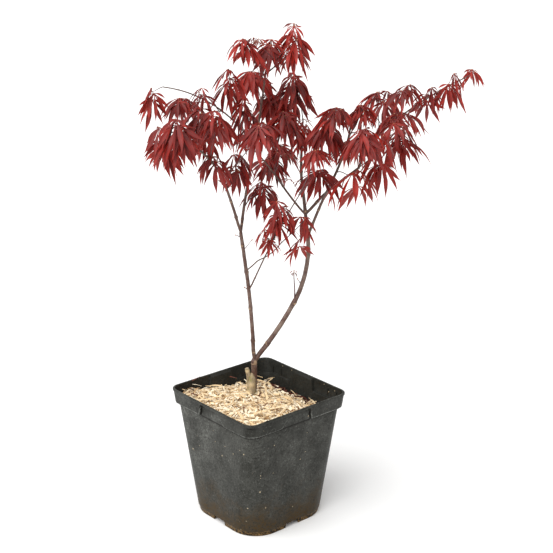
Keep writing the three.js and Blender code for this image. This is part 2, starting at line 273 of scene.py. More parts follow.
def run_tree(tree, name, host, values):
    """The tree's result on a host mesh, as a plain mesh object with no modifier left."""
    item = put_object(name, host)
    modifier = item.modifiers.new("build", "NODES")
    modifier.node_group = tree
    for socket in tree.interface.items_tree:
        if socket.in_out == "INPUT" and socket.name in values:
            modifier[socket.identifier] = values[socket.name]
    view = bpy.context.evaluated_depsgraph_get()
    view.update()
    done = item.evaluated_get(view)
    mesh = bpy.data.meshes.new_from_object(done, preserve_all_data_layers=True, depsgraph=view)
    item.modifiers.clear()
    item.data = mesh
    mesh.name = name
    if not mesh.polygons:
        raise RuntimeError(f"{name} came out empty")
    return item


def named(add, name, kind="FLOAT"):
    """A named attribute's value."""
    return add(f"GeometryNodeInputNamedAttribute {kind}", (name,))


def end_tree(add, geometry, finish):
    """Ends a tree with plain geometry in one finish."""
    real = add("GeometryNodeRealizeInstances", {"Geometry": geometry})
    done = add("GeometryNodeSetMaterial", {"Geometry": real, "Material": finish})
    add("NodeGroupOutput", {"Geometry": done})


def tube_tree():
    """Round stems along the host's edges, as thick as its radius attribute says."""
    tree, given, add = new_tree("stem_tubes", {"Sides": "Int", "Bark": "Material"})
    curve = add("GeometryNodeMeshToCurve", {"Mesh": given["Geometry"]})
    ring = add("GeometryNodeCurvePrimitiveCircle", {"Resolution": given["Sides"], "Radius": 1.0})
    tube = add("GeometryNodeCurveToMesh", {
        "Curve": curve, "Profile Curve": ring, "Scale": named(add, "radius"), "Fill Caps": True})
    end_tree(add, add("GeometryNodeSetShadeSmooth", {"Geometry": tube}), given["Bark"])
    return tree


def put_forms(add, given, points, turn, size, pick):
    """Instances of the collection's forms on points: how each is turned and sized, and which form it is."""
    forms = add("GeometryNodeCollectionInfo", {
        "Collection": given["Forms"], "Separate Children": True, "Reset Children": True})
    spin = add("FunctionNodeEulerToRotation", {"Euler": turn})
    return add("GeometryNodeInstanceOnPoints", {
        "Points": points, "Instance": forms, "Pick Instance": True, "Instance Index": pick, "Rotation": spin,
        "Scale": size})


def spray_tree():
    """A form from the collection on each host point, turned and sized by the point's attributes."""
    tree, given, add = new_tree("spray_of_forms", {
        "Forms": "Collection", "Upper": "Material", "Under": "Material"})
    turn, size, form = named(add, "turn", "FLOAT_VECTOR"), named(add, "size"), named(add, "form", "INT")
    placed = put_forms(add, given, given["Geometry"], turn, size, form)
    real = add("GeometryNodeRealizeInstances", {"Geometry": placed})
    under = add("GeometryNodeSetMaterial", {"Geometry": real, "Material": given["Under"]})
    upper = named(add, "upper", "BOOLEAN")
    done = add("GeometryNodeSetMaterial", {"Geometry": under, "Selection": upper, "Material": given["Upper"]})
    add("NodeGroupOutput", {"Geometry": done})
    return tree


def scatter_tree():
    """Forms from the collection strewn over the host's faces, where its cover attribute allows."""
    tree, given, add = new_tree("strewn_forms", {
        "Forms": "Collection", "Density": "Float", "Lift": "Float", "Tilt": "Float", "Smallest": "Float",
        "Largest": "Float", "Seed": "Int", "Finish": "Material"})
    seed, tilt = given["Seed"], given["Tilt"]
    thick = add("Math MULTIPLY", (given["Density"], named(add, "cover")))
    strewn = add("GeometryNodeDistributePointsOnFaces", {
        "Mesh": given["Geometry"], "Density": thick, "Seed": seed})
    back = add("Math MULTIPLY", (tilt, -1))
    low, high = add("CombineXYZ", (back, back, 0)), add("CombineXYZ", (tilt, tilt, math.tau))
    turn = add("FunctionNodeRandomValue FLOAT_VECTOR", (low, high, None, seed))
    size = add("FunctionNodeRandomValue FLOAT", (given["Smallest"], given["Largest"], None, seed))
    pick = add("FunctionNodeRandomValue INT", (0, MOST_FORMS, None, seed))
    rise = add("FunctionNodeRandomValue FLOAT", (0, given["Lift"], None, seed))
    raised = add("GeometryNodeSetPosition", {"Geometry": strewn, "Offset": add("CombineXYZ", {"Z": rise})})
    placed = put_forms(add, given, raised, turn, size, pick)
    shade = add("FunctionNodeRandomValue FLOAT", (0, 1, None, seed))
    marked = add("GeometryNodeStoreNamedAttribute FLOAT", {
        "Geometry": placed, "Name": "shade", "Value": shade}, domain="INSTANCE")
    end_tree(add, marked, given["Finish"])
    return tree


def in_collection(name, meshes):
    """Meshes as the objects of a hidden collection that is dropped again after use."""
    group = bpy.data.collections.new(name)
    for index, mesh in enumerate(meshes):
        group.objects.link(bpy.data.objects.new(f"{name}_{index:02d}", mesh))
    return group


def drop_collection(group):
    """Removes a collection of forms and what it holds."""
    for item in list(group.objects):
        bpy.data.objects.remove(item)
    bpy.data.collections.remove(group)


# ---- Pot ----
class PotSettings(bpy.types.PropertyGroup):
    """Sizes and colours of the moulded pot."""
    foot_half: length("Foot half width", "Half the side at the ground", 92)
    top_half: length("Top half width", "Half the side at the rim, under the lip", 107)
    foot_corner: length("Foot corner", "Corner radius at the ground", 52)
    top_corner: length("Top corner", "Corner radius at the rim", 18)
    wall: length("Wall", "Thickness of the moulded wall", 2)
    lip_half: length("Lip half width", "Half the overall width over the rolled lip", 112.5)
    lip_under: length("Lip underside", "Height of the lip's underside", 225.4)
    band_under: length("Band underside", "Height of the raised corner bands' lower edge", 204)
    band_end: length("Band end", "Half the plain stretch between two bands, at the lip", 23)
    proud_wide: length("Deep band", "How far the left and right corner bands stand out", 5)
    proud_slim: length("Shallow band", "How far the other two corner bands stand out", 3)
    slant_wide: length("Deep band slant", "How far a deep band's end slopes back to its foot", 5)
    slant_slim: length("Shallow band slant", "How far a shallow band's end slopes back to its foot", 15)
    floor_under: length("Floor underside", "Height of the floor above the ground", 6)
    boss: length("Middle foot", "Radius of the flat foot under the floor", 28)
    notch_width: length("Notch width", "Width of the drainage notch at each side's foot", 30)
    notch_height: length("Notch height", "Height of the drainage notches", 9.6)
    drain: length("Drain hole", "Radius of the drain holes", 6)
    drain_ring: length("Drain circle", "Distance of the drain holes from the middle", 55)
    plastic: colour("Plastic", "Bare polypropylene", "#242420")
    worn: colour("Worn plastic", "Polypropylene greyed by the sun", "#343430")
    # The dust colour also paints the highlight on the rubbed band edges and the lip's crest.
    dust: colour("Dust", "Grey dust rubbed into the wall", "#83847f")
    grit: colour("Grit", "Specks of dry compost", "#b0a085")
    soil: colour("Soil film", "Brown film of soil near the ground", "#3f3019")
    # The damp colour also serves as the painted shade under the bands and on the ribs and tabs.
    damp: colour("Damp soil", "Dark soil on the recessed foot", "#0f0b07")
    cake: colour("Caked soil", "Dry soil on the recessed foot", "#80643c")


POT_CORNER_STEPS = 10
POT_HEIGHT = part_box("pot")[1].z
BAND_RUN = 0.8 * MM              # width of the step at each band's end
BAND_STEP = (202 * MM, 203.7 * MM)    # foot and head of the step under the bands
LIP_FROM, LIP_INSIDE, LIP_CREST = 225 * MM, 229 * MM, 229.7 * MM    # heights of foot, inner edge and crest
SHARPEST = math.radians(60)      # a turn of the wall at which the pale rub with its painted highlight, and the painted shade in a hollow, are fullest
LIP_SHELTER = 0.55               # how sheltered from dust the lip is, where 1 is the pot's inside
MOULDED_SHADE = 0.15            # how much painted shade darkens the ribs and tabs
RIBS = (62 * MM, 84 * MM)        # places of the ribs along each wall inside the bands
# Rings down the outside and down the inside, in millimetres: height, inset, and share of the bands' depth.
POT_OUTSIDE = (
    (6, 4.5, 0), (0.5, 4.5, 0), (0, 4, 0), (0, 2.2, 0), (0.6, 1.5, 0), (6.6, 1.5, 0), (7.4, 1.2, 0),
    (8, 0.5, 0), (9.4, 0, 0), (14, 0, 0), (40, 0, 0), (80, 0, 0), (120, 0, 0), (160, 0, 0), (190, 0, 0),
    (198.6, 0, 0),
    (202.4, 0, -0.3), (203.6, 0, -0.3), (203.8, 0, 0.85), (204.4, 0, 1), (207.6, 0, 1), (213, 0, 1),
    (225.2, 0, 1),
)
POT_INSIDE = (
    (225, 2, 1), (207.4, 2, 1), (206.6, 2, 0.92), (205.6, 2, 0.1), (205, 2, 0), (190, 2, 0), (120, 2, 0),
    (40, 2, 0), (13, 2, 0), (10, 3, 0), (9, 5, 0),
)
# Rings over the rolled lip, in millimetres: height and inset.
POT_LIP = (
    (225.4, 1), (225.7, 0.4), (226.3, 0.05), (227.4, 0), (228.6, 0.05), (229.6, 0.6), (230, 1.5), (230, 2.4),
    (229.5, 3.2), (228.4, 3.6),
)


def pot_outline(pot, z, half, corner, band=0.0):
    """The pot's outline at a height, with its corner stretches pushed out into bands."""
    climb = min(max((z - pot.band_under) / (pot.lip_under - pot.band_under), 0), 1)
    points = []
    for k in range(4):
        deep = k % 2
        reach = half + band * (pot.proud_wide if deep else pot.proud_slim)
        end = pot.band_end + (1 - climb) * (pot.slant_wide if deep else pot.slant_slim)
        centre = reach - corner
        step_out = [
            (half, end - 3 * BAND_RUN), (half, end - BAND_RUN), (reach, end), (reach, end + 2 * BAND_RUN)
        ]
        local = list(step_out)
        for step in range(POT_CORNER_STEPS + 1):
            angle = step / POT_CORNER_STEPS * math.pi / 2
            local.append((centre + corner * math.cos(angle), centre + corner * math.sin(angle)))
        local += [(y, x) for x, y in reversed(step_out)]
        cos, sin = (1, 0, -1, 0)[k], (0, 1, 0, -1)[k]
        points += [(x * cos - y * sin, x * sin + y * cos, z) for x, y in local]
    return points


def body_half(pot, z):
    """Half the width of the tapering wall at a height."""
    return pot.foot_half + (pot.top_half - pot.foot_half) * z / POT_HEIGHT


def body_corner(pot, z):
    """The wall's corner radius at a height."""
    return pot.foot_corner + (pot.top_corner - pot.foot_corner) * z / POT_HEIGHT


def body_ring(pot, z, inset, band):
    """A ring of the wall, from a row in millimetres."""
    z, inset = z * MM, inset * MM
    corner = body_corner(pot, z) - min(inset, pot.wall)
    return pot_outline(pot, z, body_half(pot, z) - inset, corner, band)


def lip_ring(pot, z, inset):
    """A ring of the rolled lip, from a row in millimetres."""
    return pot_outline(pot, z * MM, pot.lip_half - inset * MM, pot.top_corner - inset * MM / 2)


def block(low, high):
    """Points and faces of a box."""
    x0, y0, z0 = low
    x1, y1, z1 = high
    return skin([
        [(x0, y0, z0), (x1, y0, z0), (x1, y1, z0), (x0, y1, z0)],
        [(x0, y0, z1), (x1, y0, z1), (x1, y1, z1), (x0, y1, z1)],
    ])


def turned(solid, quarter_turns):
    """Points and faces turned about Z."""
    points, faces = solid
    angle = quarter_turns * math.pi / 2
    cos, sin = math.cos(angle), math.sin(angle)
    spin = np.array([[cos, -sin, 0], [sin, cos, 0], [0, 0, 1]])
    return np.asarray(points) @ spin.T, faces


def disc(radius, low, high, centre, sides=24):
    """Points and faces of an upright cylinder."""
    angles = [math.tau * i / sides for i in range(sides)]
    ring = [(centre[0] + radius * math.cos(a), centre[1] + radius * math.sin(a)) for a in angles]
    return skin([[(x, y, low) for x, y in ring], [(x, y, high) for x, y in ring]])


def corner_tab(pot, quarter_turns):
    """The small arched tab that stands out from a shallow corner under the lip."""
    half_width, foot, head, proud, inside = 7.5 * MM, 207 * MM, 221.5 * MM, 0.9 * MM, 0.5 * MM
    levels = []
    outline = (                  # height, narrowing and depth, from the foot to the arched head
        (foot, 0, 0), (foot, 0, proud), (head - 3 * MM, 0, proud), (head - MM, 2 * MM, proud),
        (head, 4 * MM, proud), (head, 4 * MM, 0),
    )
    for z, narrow, out in outline:
        corner = body_corner(pot, z)
        centre = body_half(pot, z) + pot.proud_slim - corner
        spread = (half_width - narrow) / corner
        angles = [math.pi / 4 + spread * (i / 4 - 1) for i in range(9)]
        arc = [(corner + out, a) for a in angles] + [(corner - inside, a) for a in reversed(angles)]
        levels.append([(centre + reach * math.cos(a), centre + reach * math.sin(a), z) for reach, a in arc])
    return turned(skin(levels), quarter_turns)


def wear_and_shade_marks(pot, mesh, shell_points):
    """For each point: how sharply the wall turns out and turns in, whether it is inside, and on a band.

    The first points are those of the shell, and the rest belong to the ribs, tabs and middle foot.
    """
    shape = bmesh.new()
    shape.from_mesh(mesh)
    turns = [[edge.calc_face_angle_signed(0) for edge in v.link_edges] for v in shape.verts]
    facing = np.array([v.normal.x * v.co.x + v.normal.y * v.co.y for v in shape.verts])
    heights = np.array([v.co.z for v in shape.verts])
    shape.free()
    edges = np.clip(np.array([max(t) for t in turns]) / SHARPEST, 0, 1)
    crease_shades = np.clip(-np.array([min(t) for t in turns]) / SHARPEST, 0, 1)
    inner = ((facing < -0.01 * MM) & (heights < LIP_INSIDE)).astype(float)
    bands = (heights > BAND_STEP[0]) & (heights < LIP_FROM) & (inner == 0)
    # Only the bands' edges and the lip's crest keep their pale rub, which is partly a painted highlight.
    edges[~bands & (heights < LIP_CREST)] = 0
    crease_shades[~bands] = 0
    # Painted shade: the hollow under each band is set fully dark.
    crease_shades[bands & (heights < BAND_STEP[1]) & (edges > 0)] = 1
    inner[(heights > LIP_FROM) & (inner == 0)] = LIP_SHELTER
    across = np.array([min(abs(v.co.x), abs(v.co.y)) for v in mesh.vertices])
    climb = np.clip((heights - pot.band_under) / (pot.lip_under - pot.band_under), 0, 1)
    slants = np.array([pot.slant_wide if v.co.x * v.co.y < 0 else pot.slant_slim for v in mesh.vertices])
    ends = pot.band_end + (1 - climb) * slants
    proud = (bands & (heights > BAND_STEP[1]) & (across > ends - BAND_RUN / 2)).astype(float)
    edges[shell_points:] = 0
    # Painted shade darkens the ribs and tabs a little.
    crease_shades[shell_points:] = MOULDED_SHADE
    return edges, crease_shades, inner, proud


def pot_cutters(pot):
    """Points and faces that cut the drainage notches and the drain holes."""
    deep = 12 * MM
    cutters = []
    for k in range(4):
        low = (pot.foot_half - deep, -pot.notch_width / 2, -deep)
        high = (pot.foot_half + deep, pot.notch_width / 2, pot.notch_height)
        cutters.append(turned(block(low, high), k))
        drain = disc(pot.drain, -deep, 2 * deep, (pot.drain_ring, 0), 20)
        cutters.append(turned(drain, k + 0.5))
    return joined(cutters)


def pot_extras(pot):
    """The middle foot under the floor, the ribs inside the bands and the two corner tabs."""
    extras = [disc(pot.boss, 0, pot.floor_under + MM, (0, 0), 40)]
    low, high, deep, half = 206.5 * MM, 221 * MM, 1.6 * MM, 0.7 * MM
    for k in range(4):
        face = body_half(pot, high) - pot.wall + (pot.proud_slim, pot.proud_wide)[k % 2]
        near, far = face - deep, face + pot.wall / 2
        for along in RIBS:
            extras.append(turned(block((near, along - half, low), (far, along + half, high)), k))
            extras.append(turned(block((along - half, near, low), (along + half, far, high)), k))
    return extras + [corner_tab(pot, 0), corner_tab(pot, 2)]


def build_pot_mesh(pot, material):
    """The pot as one mesh: a closed shell with its openings cut, the parts moulded on it, and its marks of wear,
    painted highlight and painted shade.
    """
    rings = [body_ring(pot, *row) for row in POT_OUTSIDE]
    rings += [lip_ring(pot, *row) for row in POT_LIP]
    rings += [body_ring(pot, *row) for row in POT_INSIDE]
    shell = put_object("pot_shell", make_mesh("pot_shell", *skin(rings)))
    cutter = put_object("pot_cutter", make_mesh("pot_cutter", *pot_cutters(pot)))
    cut = shell.modifiers.new("cut", "BOOLEAN")
    cut.operation = "DIFFERENCE"
    cut.object = cutter
    cut.solver = "EXACT"
    view = bpy.context.evaluated_depsgraph_get()
    view.update()
    holed = bpy.data.meshes.new_from_object(shell.evaluated_get(view))
    for item in (shell, cutter):
        bpy.data.objects.remove(item)
    points, faces = [v.co for v in holed.vertices], [list(face.vertices) for face in holed.polygons]
    mesh = make_mesh("nursery_pot", *joined([(points, faces)] + pot_extras(pot)), [material], sharp_above=32)
    for name, values in zip(("edge", "crease", "inner", "proud"), wear_and_shade_marks(pot, mesh, len(points))):
        put_attribute(mesh, name, "FLOAT", "POINT", values)
    return mesh


def weathered_polypropylene(pot):
    """Moulded polypropylene, greyed and dusty: soft charcoal with pale scuffs, grit and a soiled foot, with
    painted light and shade: a lighter left wall, highlights on the band edges and lip, dark hollows under the
    bands.
    """
    def build(add, place):
        height = add("SeparateXYZ", (place,), out="Z")
        round_wall = add("Math SUBTRACT", (height.node.outputs["Y"], height.node.outputs["X"]))
        inner = add("Attribute", out="Fac", attribute_name="inner")
        outer = add("MapRange", (inner, 0, 1, 1, 0.25))
        broad = add("TexNoise", (place, per(70), 4, 0.6))
        cloudy = add("MapRange", (broad, 0.38, 0.62))
        kept = add("Math MULTIPLY", (cloudy, outer))
        base = add("Mix RGBA", (kept, pot.plastic, pot.worn))
        # Dust lies in blotches, thickest under the rim. How much lies round the pot is partly painted light and
        # shade: more on the left wall paints it lighter, and least at the front corner paints it darker.
        blotch = add("TexNoise", (place, per(34), 6, 0.62))
        patches = add("MapRange", (blotch, 0.4, 0.62))
        upper = add("MapRange", (height, 30 * MM, 200 * MM, 0.12, 0.6))
        # Painted light and shade round the pot: more dust on the left wall, least at the front corner.
        painted_light_left = add("MapRange", (round_wall, 40 * MM, 140 * MM, 0, 1))
        painted_shade_front = add("MapRange", (round_wall, -200 * MM, 0, 0.5, 0.22))
        dust_and_painted_light = add("Math MAXIMUM", (painted_light_left, painted_shade_front))
        dusty = add("Math MULTIPLY", (patches, upper))
        lying = add("Math MULTIPLY", (dusty, dust_and_painted_light))
        # The moulded grain holds the dust in specks of one to three millimetres.
        fine = add("TexNoise", (place, per(1.7), 2, 0.6))
        coarse = add("TexNoise", (place, per(4), 3, 0.6))
        specks = add("Math MULTIPLY", (fine, coarse))
        powder = add("MapRange", (specks, 0.14, 0.4, 0.24, 0.86))
        held = add("Math ADD", (lying, 0.12))
        thick = add("Math MULTIPLY", (held, powder))
        # The raised bands are shown darker, with less of the pale dust mixed in.
        proud = add("Attribute", out="Fac", attribute_name="proud")
        band_darker = add("MapRange", (proud, 0, 1, 1, 0.45))
        left = add("Math MULTIPLY", (thick, outer))
        amount = add("Math MULTIPLY", (left, band_darker))
        powdered = add("Mix RGBA", (amount, base, pot.dust))
        pale = add("MapRange", (specks, 0.33, 0.46, 0, 0.36))
        showing = add("Math MULTIPLY", (pale, outer))
        speckled = add("Mix RGBA", (showing, powdered, pot.dust))
        # Grit: scattered ragged crumbs of dry compost about a millimetre across.
        ragged = add("TexNoise", (place, per(1.5), 2), out="Color")
        bent = add("VectorMath MULTIPLY_ADD", (ragged, (2 * MM,) * 3, place))
        cells = add("TexVoronoi", (bent, per(12.4)))
        pick = add("SeparateColor", (cells.node.outputs["Color"],))
        reach = add("MapRange", (pick, 0.45, 1, 0, 0.11))
        crumb = add("Math LESS_THAN", (cells, reach))
        gritty = add("Mix RGBA", (crumb, speckled, pot.grit))
        # Corners and rims are rubbed pale, partly real wear and partly a painted highlight on the band edges and
        # the lip's crest, and the angles under them are darkened with painted shade.
        edge = add("Attribute", out="Fac", attribute_name="edge")
        # Partly painted highlight: the pale rub on the band edges and the lip's crest.
        rub_and_highlight = add("Math MULTIPLY", (edge, coarse))
        rubbed = add("MapRange", (rub_and_highlight, 0.2, 0.45, 0, 0.8))
        worn = add("Mix RGBA", (rubbed, gritty, pot.dust))
        # Painted shade: the creases under the bands and the ribs and tabs take the dark damp colour.
        crease = add("Attribute", out="Fac", attribute_name="crease")
        deep = add("Mix RGBA", (crease, worn, pot.damp))
        # A brown film splashed up from the ground, and damp soil on the recessed foot.
        splash = add("TexNoise", (place, per(26), 6, 0.7))
        edge_of = add("Math MULTIPLY_ADD", (splash, -170 * MM, 100 * MM))
        lifted = add("Math ADD", (height, edge_of))
        rising = add("MapRange", (lifted, 12 * MM, 90 * MM, 1.3, 0))
        spotty = add("MapRange", (coarse, 0.35, 0.65, 0.35, 1))
        film = add("Math MULTIPLY", (rising, spotty), use_clamp=True)
        soiled = add("Mix RGBA", (film, deep, pot.soil))
        low = add("MapRange", (height, 8.5 * MM, 10.5 * MM, 0.9, 0))
        caking = add("MapRange", (specks, 0.2, 0.36))
        caked = add("Mix RGBA", (caking, pot.damp, pot.cake))
        # Dark damp spots, the size of a grain of soil.
        grains = add("MapRange", (specks, 0.22, 0.13, 0, 0.5))
        spotted = add("Mix RGBA", (grains, soiled, pot.damp))
        final = add("Mix RGBA", (low, spotted, caked))
        rough = add("MapRange", (amount, 0, 1, 0.4, 0.75))
        grain = add("Math ADD", (fine, coarse))
        bump = add("Bump", {"Height": grain, "Strength": 0.2, "Distance": 0.4 * MM})
        return {"Base Color": final, "Roughness": rough, "Normal": bump, "Specular IOR Level": 0.1}
    return surface("weathered_polypropylene", build)


class MAPLE_OT_pot(bpy.types.Operator):
    """Moulds the square pot with its rolled lip, corner bands, notches and drain holes"""
    bl_idname = "maple.pot"
    bl_label = "Mould the pot"

    def execute(self, context):
        pot = context.scene.maple_pot
        mesh = build_pot_mesh(pot, weathered_polypropylene(pot))
        settle(put_object("nursery_pot", mesh), "pot", "pot")
        return {"FINISHED"}


# ---- Compost and mulch ----
class MulchSettings(bpy.types.PropertyGroup):
    """Sizes and colours of the mulch and of the compost that shows in it."""
    margin: length("Wall margin", "Gap between the heap and the pot's wall", 0.6)
    relief: length("Relief", "How far the heap's surface rises and falls", 3.0)
    bare_width: length("Bare strip", "Width of the strip of bare compost along one wall", 17)
    bare_from: length("Bare from", "Where along the wall the bare strip starts", -42)
    bare_to: length("Bare to", "Where along the wall the bare strip ends", 82)
    keep_off: length("Keep off the wall", "How far from the wall long shavings lie", 14)
    keep_off_short: length("Short ones", "How far from the wall crumbs lie", 7.2)
    keep_off_bits: length("Smallest ones", "How far from the wall the smallest bits lie", 3.2)
    long_density: count("Long shavings", "Long shavings of one kind on each square metre", 12000)
    crumb_density: count("Crumbs", "Crumbs and short shavings on each square metre", 17000)
    fibre_density: count("Fibres", "Bark fibres on each square metre of bare compost", 90000)
    cream: colour("Cream", "Palest shavings", "#fff6e2")
    straw: colour("Straw", "Common shavings", "#f8e6c2")
    tan: colour("Tan", "Weathered shavings", "#dcb986")
    bark: colour("Bark fibre", "Dark bark fibres in the compost", "#7a3a25")
    peat: colour("Peat", "Dark compost", "#3a1f15")


HEAP_STEPS = 40                  # rings of the heap from the middle to the wall
STEM_CLEAR = 9 * MM              # how far from the trunk's middle nothing is strewn
WAVER = 0.12                     # how far a strip winds sideways, of its length
RAGGED = 0.16                    # how uneven a strip's edges are, of its width
RIM_STEPS = (0.985, 0.965, 0.945, 0.92, 0.88)    # how far in to look for the CAD layer's top at its rim
SHAVING_KINDS = {                # how many forms, and their length, width, thickness (mm) and curl (turns)
    "long_shavings": (10, (11, 26), (2.2, 5.0), 0.4, (0.1, 1.0)),
    "crumbs": (7, (5, 11), (2.4, 5.2), 0.4, (0.05, 0.6)),
    "bits": (5, (2.5, 5.5), (1.4, 3), 0.4, (0.05, 0.5)),
    "fibres": (5, (6, 15), (1.0, 2.6), 0.6, (0.0, 0.25)),
    "slivers": (8, (11, 22), (1.1, 2.3), 0.4, (0.05, 0.7)),
}


def strip_form(name, rng, long, wide, thick, turns, steps=7):
    """A thin strip of wood with tapering ends, curled and a little twisted, lying along X."""
    sweep = turns * math.tau
    twist, ragged = rng.uniform(-1.2, 1.2), rng.uniform(5, 14)
    points = []
    for i in range(steps + 1):
        t = i / steps - 0.5
        angle = sweep * t
        bow = long / sweep if sweep > 0.05 else 0
        x = bow * math.sin(angle) if bow else long * t
        z = bow * (math.cos(angle * 0.5) ** 2 - 0.5) if bow else 0
        points.append((x, long * WAVER * math.sin(2 * t), z))
    rings = []
    for i, centre in enumerate(points):
        t = i / steps
        half = wide / 2 * (0.7 + 0.3 * math.sin(math.pi * t)) * (1 + RAGGED * math.sin(t * ragged + ragged))
        roll = twist * (t - 0.5)
        across = np.array([0, math.cos(roll), math.sin(roll)])
        before, after = points[max(i - 1, 0)], points[min(i + 1, steps)]
        along = unit(np.subtract(after, before))
        normal = np.cross(along, across)
        centre = np.array(centre)
        low, high = centre - normal * thick / 2, centre + normal * thick / 2
        rings.append([low - across * half, low + across * half, high + across * half, high - across * half])
    return make_mesh(name, *skin(rings), sharp_above=40)


def strip_forms(kind, seed):
    """A collection of strips of one kind."""
    amount, long, wide, thick, turns = SHAVING_KINDS[kind]
    rng = random.Random(seed)
    meshes = []
    for index in range(amount):
        size = (rng.uniform(*long) * MM, rng.uniform(*wide) * MM, thick * MM)
        meshes.append(strip_form(f"{kind}_{index}", rng, *size, rng.uniform(*turns)))
    return in_collection(kind, meshes)


def wobble(x, y, size, seed):
    """A smooth uneven value from -1 to 1 with features of a given size in metres."""
    rng = random.Random(seed)
    total = 0.0
    for octave in range(1, 5):       # each finer and weaker than the one before
        angle, phase = rng.uniform(0, math.tau), rng.uniform(0, math.tau)
        pitch = math.tau / (size * (1.6 - 0.27 * octave))
        total = total + np.sin((x * math.cos(angle) + y * math.sin(angle)) * pitch + phase) / octave ** 0.5
    return total / 2.8


def inside_edge(pot, z, margin):
    """Points round the inside of the wall at a height, a margin off it, twice as close as in the outline."""
    corners = np.array(pot_outline(pot, z, body_half(pot, z) - pot.wall - margin, body_corner(pot, z)))
    halfway = (corners + np.roll(corners, -1, axis=0)) / 2
    return np.stack([corners, halfway], axis=1).reshape(-1, 3)


def bareness(mulch, wall, x, y):
    """How bare the heap is at a place, from 0 to 1, by the ragged strip of bare compost along one wall."""
    ragged = wobble(x, y, 26 * MM, 5) * 5 * MM + wobble(x, y, 9 * MM, 6) * 2.5 * MM
    inward = (wall - mulch.bare_width + ragged - x) / (5 * MM)
    middle, half = (mulch.bare_to + mulch.bare_from) / 2, (mulch.bare_to - mulch.bare_from) / 2
    beyond = (abs(y - middle) + ragged - half) / (6 * MM)
    return float(np.clip(0.5 - inward, 0, 1) * np.clip(0.5 - beyond, 0, 1))


def layer_top(tree, low, x, y):
    """The height of the CAD layer's top at a place, found a little further in at its rounded rim."""
    for inward in RIM_STEPS:
        hit = tree.ray_cast(Vector((x * inward, y * inward, 0.4)), Vector((0, 0, -1)))[0]
        if hit is not None and hit.z > low + 5 * MM:
            return hit.z
    return low


def build_heap(mulch, pot, materials):
    """The heap of mulch: the CAD layer's top with finer relief, its bare strip and its cover for strewing."""
    node = frame["nodes"]["mulch"].data
    tree = BVHTree.FromPolygons([v.co for v in node.vertices], [list(p.vertices) for p in node.polygons])
    low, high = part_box("mulch")
    edge = inside_edge(pot, (low.z + high.z) / 2 + mulch.relief, mulch.margin)
    stem = (np.array(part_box("trunk")[0]) + np.array(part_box("trunk")[1])) / 2
    rings = []
    marks = {"cover": [], "short_cover": [], "rim_cover": [], "bare": []}
    for step in range(HEAP_STEPS + 1):
        ring = []
        for x0, y0, _ in edge:
            x, y = x0 * step / HEAP_STEPS, y0 * step / HEAP_STEPS
            bare = bareness(mulch, high.x, x, y)
            relief = wobble(x, y, 30 * MM, 1) * 0.8 + wobble(x, y, 11 * MM, 2) * 0.45
            ring.append((x, y, layer_top(tree, low.z, x, y) + (mulch.relief * relief - bare * 3 * MM)))
            if not step:
                continue
            from_wall = float(np.min(np.hypot(edge[:, 0] - x, edge[:, 1] - y)))
            clear = float(math.hypot(x - stem[0], y - stem[1]) > STEM_CLEAR)
            marks["cover"].append(clear * (from_wall > mulch.keep_off) * (1 - bare))
            marks["short_cover"].append(clear * (from_wall > mulch.keep_off_short) * (1 - bare))
            marks["rim_cover"].append((mulch.keep_off_bits < from_wall < mulch.keep_off) * (1 - bare))
            marks["bare"].append(bare * (from_wall > mulch.keep_off_short))
        rings.append(ring)
    foot = [tuple(spot) for spot in inside_edge(pot, low.z, mulch.margin)]
    mesh = make_mesh("mulch_heap", *skin(rings[1:] + [foot]), materials, sharp_above=60)
    for name, values in marks.items():
        spare = len(mesh.vertices) - len(values)
        put_attribute(mesh, name, "FLOAT", "POINT", values + [0.0] * spare)
    return mesh


def wood_shavings(name, shade, deep):
    """Dry softwood shavings: pale, matt and silky along the grain, each curl its own shade."""
    def build(add, place):
        own = add("Attribute", out="Fac", attribute_name="shade")
        grain = add("TexNoise", (place, per(1.2), 3))
        tone = add("Math MULTIPLY_ADD", (grain, 0.55, -0.12))
        mixed = add("Math MULTIPLY_ADD", (own, 0.6, tone), use_clamp=True)
        base = add("Mix RGBA", (mixed, shade, deep))
        bump = add("Bump", {"Height": grain, "Strength": 0.3, "Distance": 0.2 * MM})
        return {"Base Color": base, "Roughness": 0.72, "Normal": bump, "IOR": 1.45}
    return surface(name, build)


def packed_shavings(mulch):
    """The matted lower layer of shavings: small pale chips with brown shadows between, dark where bare."""
    def build(add, place):
        warp = add("TexNoise", (place, per(9), 2), out="Color")
        bent = add("VectorMath MULTIPLY_ADD", (warp, (12 * MM,) * 3, place))
        chips = add("TexVoronoi", (bent, per(3.2)))
        cell = add("SeparateColor", (chips.node.outputs["Color"],))
        pale = add("Mix RGBA", (cell, mulch.straw, mulch.tan))
        gap = add("MapRange", (chips, 0.35, 0.75))
        shadow = paint("#94693d")
        chip = add("Mix RGBA", (gap, pale, shadow))
        earth = add("Mix RGBA", (cell, mulch.peat, mulch.bark))
        bare = add("Attribute", out="Fac", attribute_name="bare")
        base = add("Mix RGBA", (bare, chip, earth))
        bump = add("Bump", {"Height": chips, "Strength": 0.8, "Distance": 1.2 * MM})
        bump.node.invert = True
        return {"Base Color": base, "Roughness": 0.9, "Normal": bump}
    return surface("packed_wood_shavings", build)


def bark_compost(name, mulch):
    """Composted bark and peat: damp, nearly black crumbs with red-brown fibres."""
    def build(add, place):
        crumbs = add("TexVoronoi", (place, per(2.5)))
        cell = add("SeparateColor", (crumbs.node.outputs["Color"],))
        fibre = add("TexNoise", (place, per(5), 5))
        tone = add("Math MULTIPLY", (cell, fibre))
        base = add("Mix RGBA", (tone, mulch.peat, mulch.bark))
        bump = add("Bump", {"Height": crumbs, "Strength": 0.9, "Distance": 1.0 * MM})
        return {"Base Color": base, "Roughness": 0.88, "Normal": bump}
    return surface(name, build)


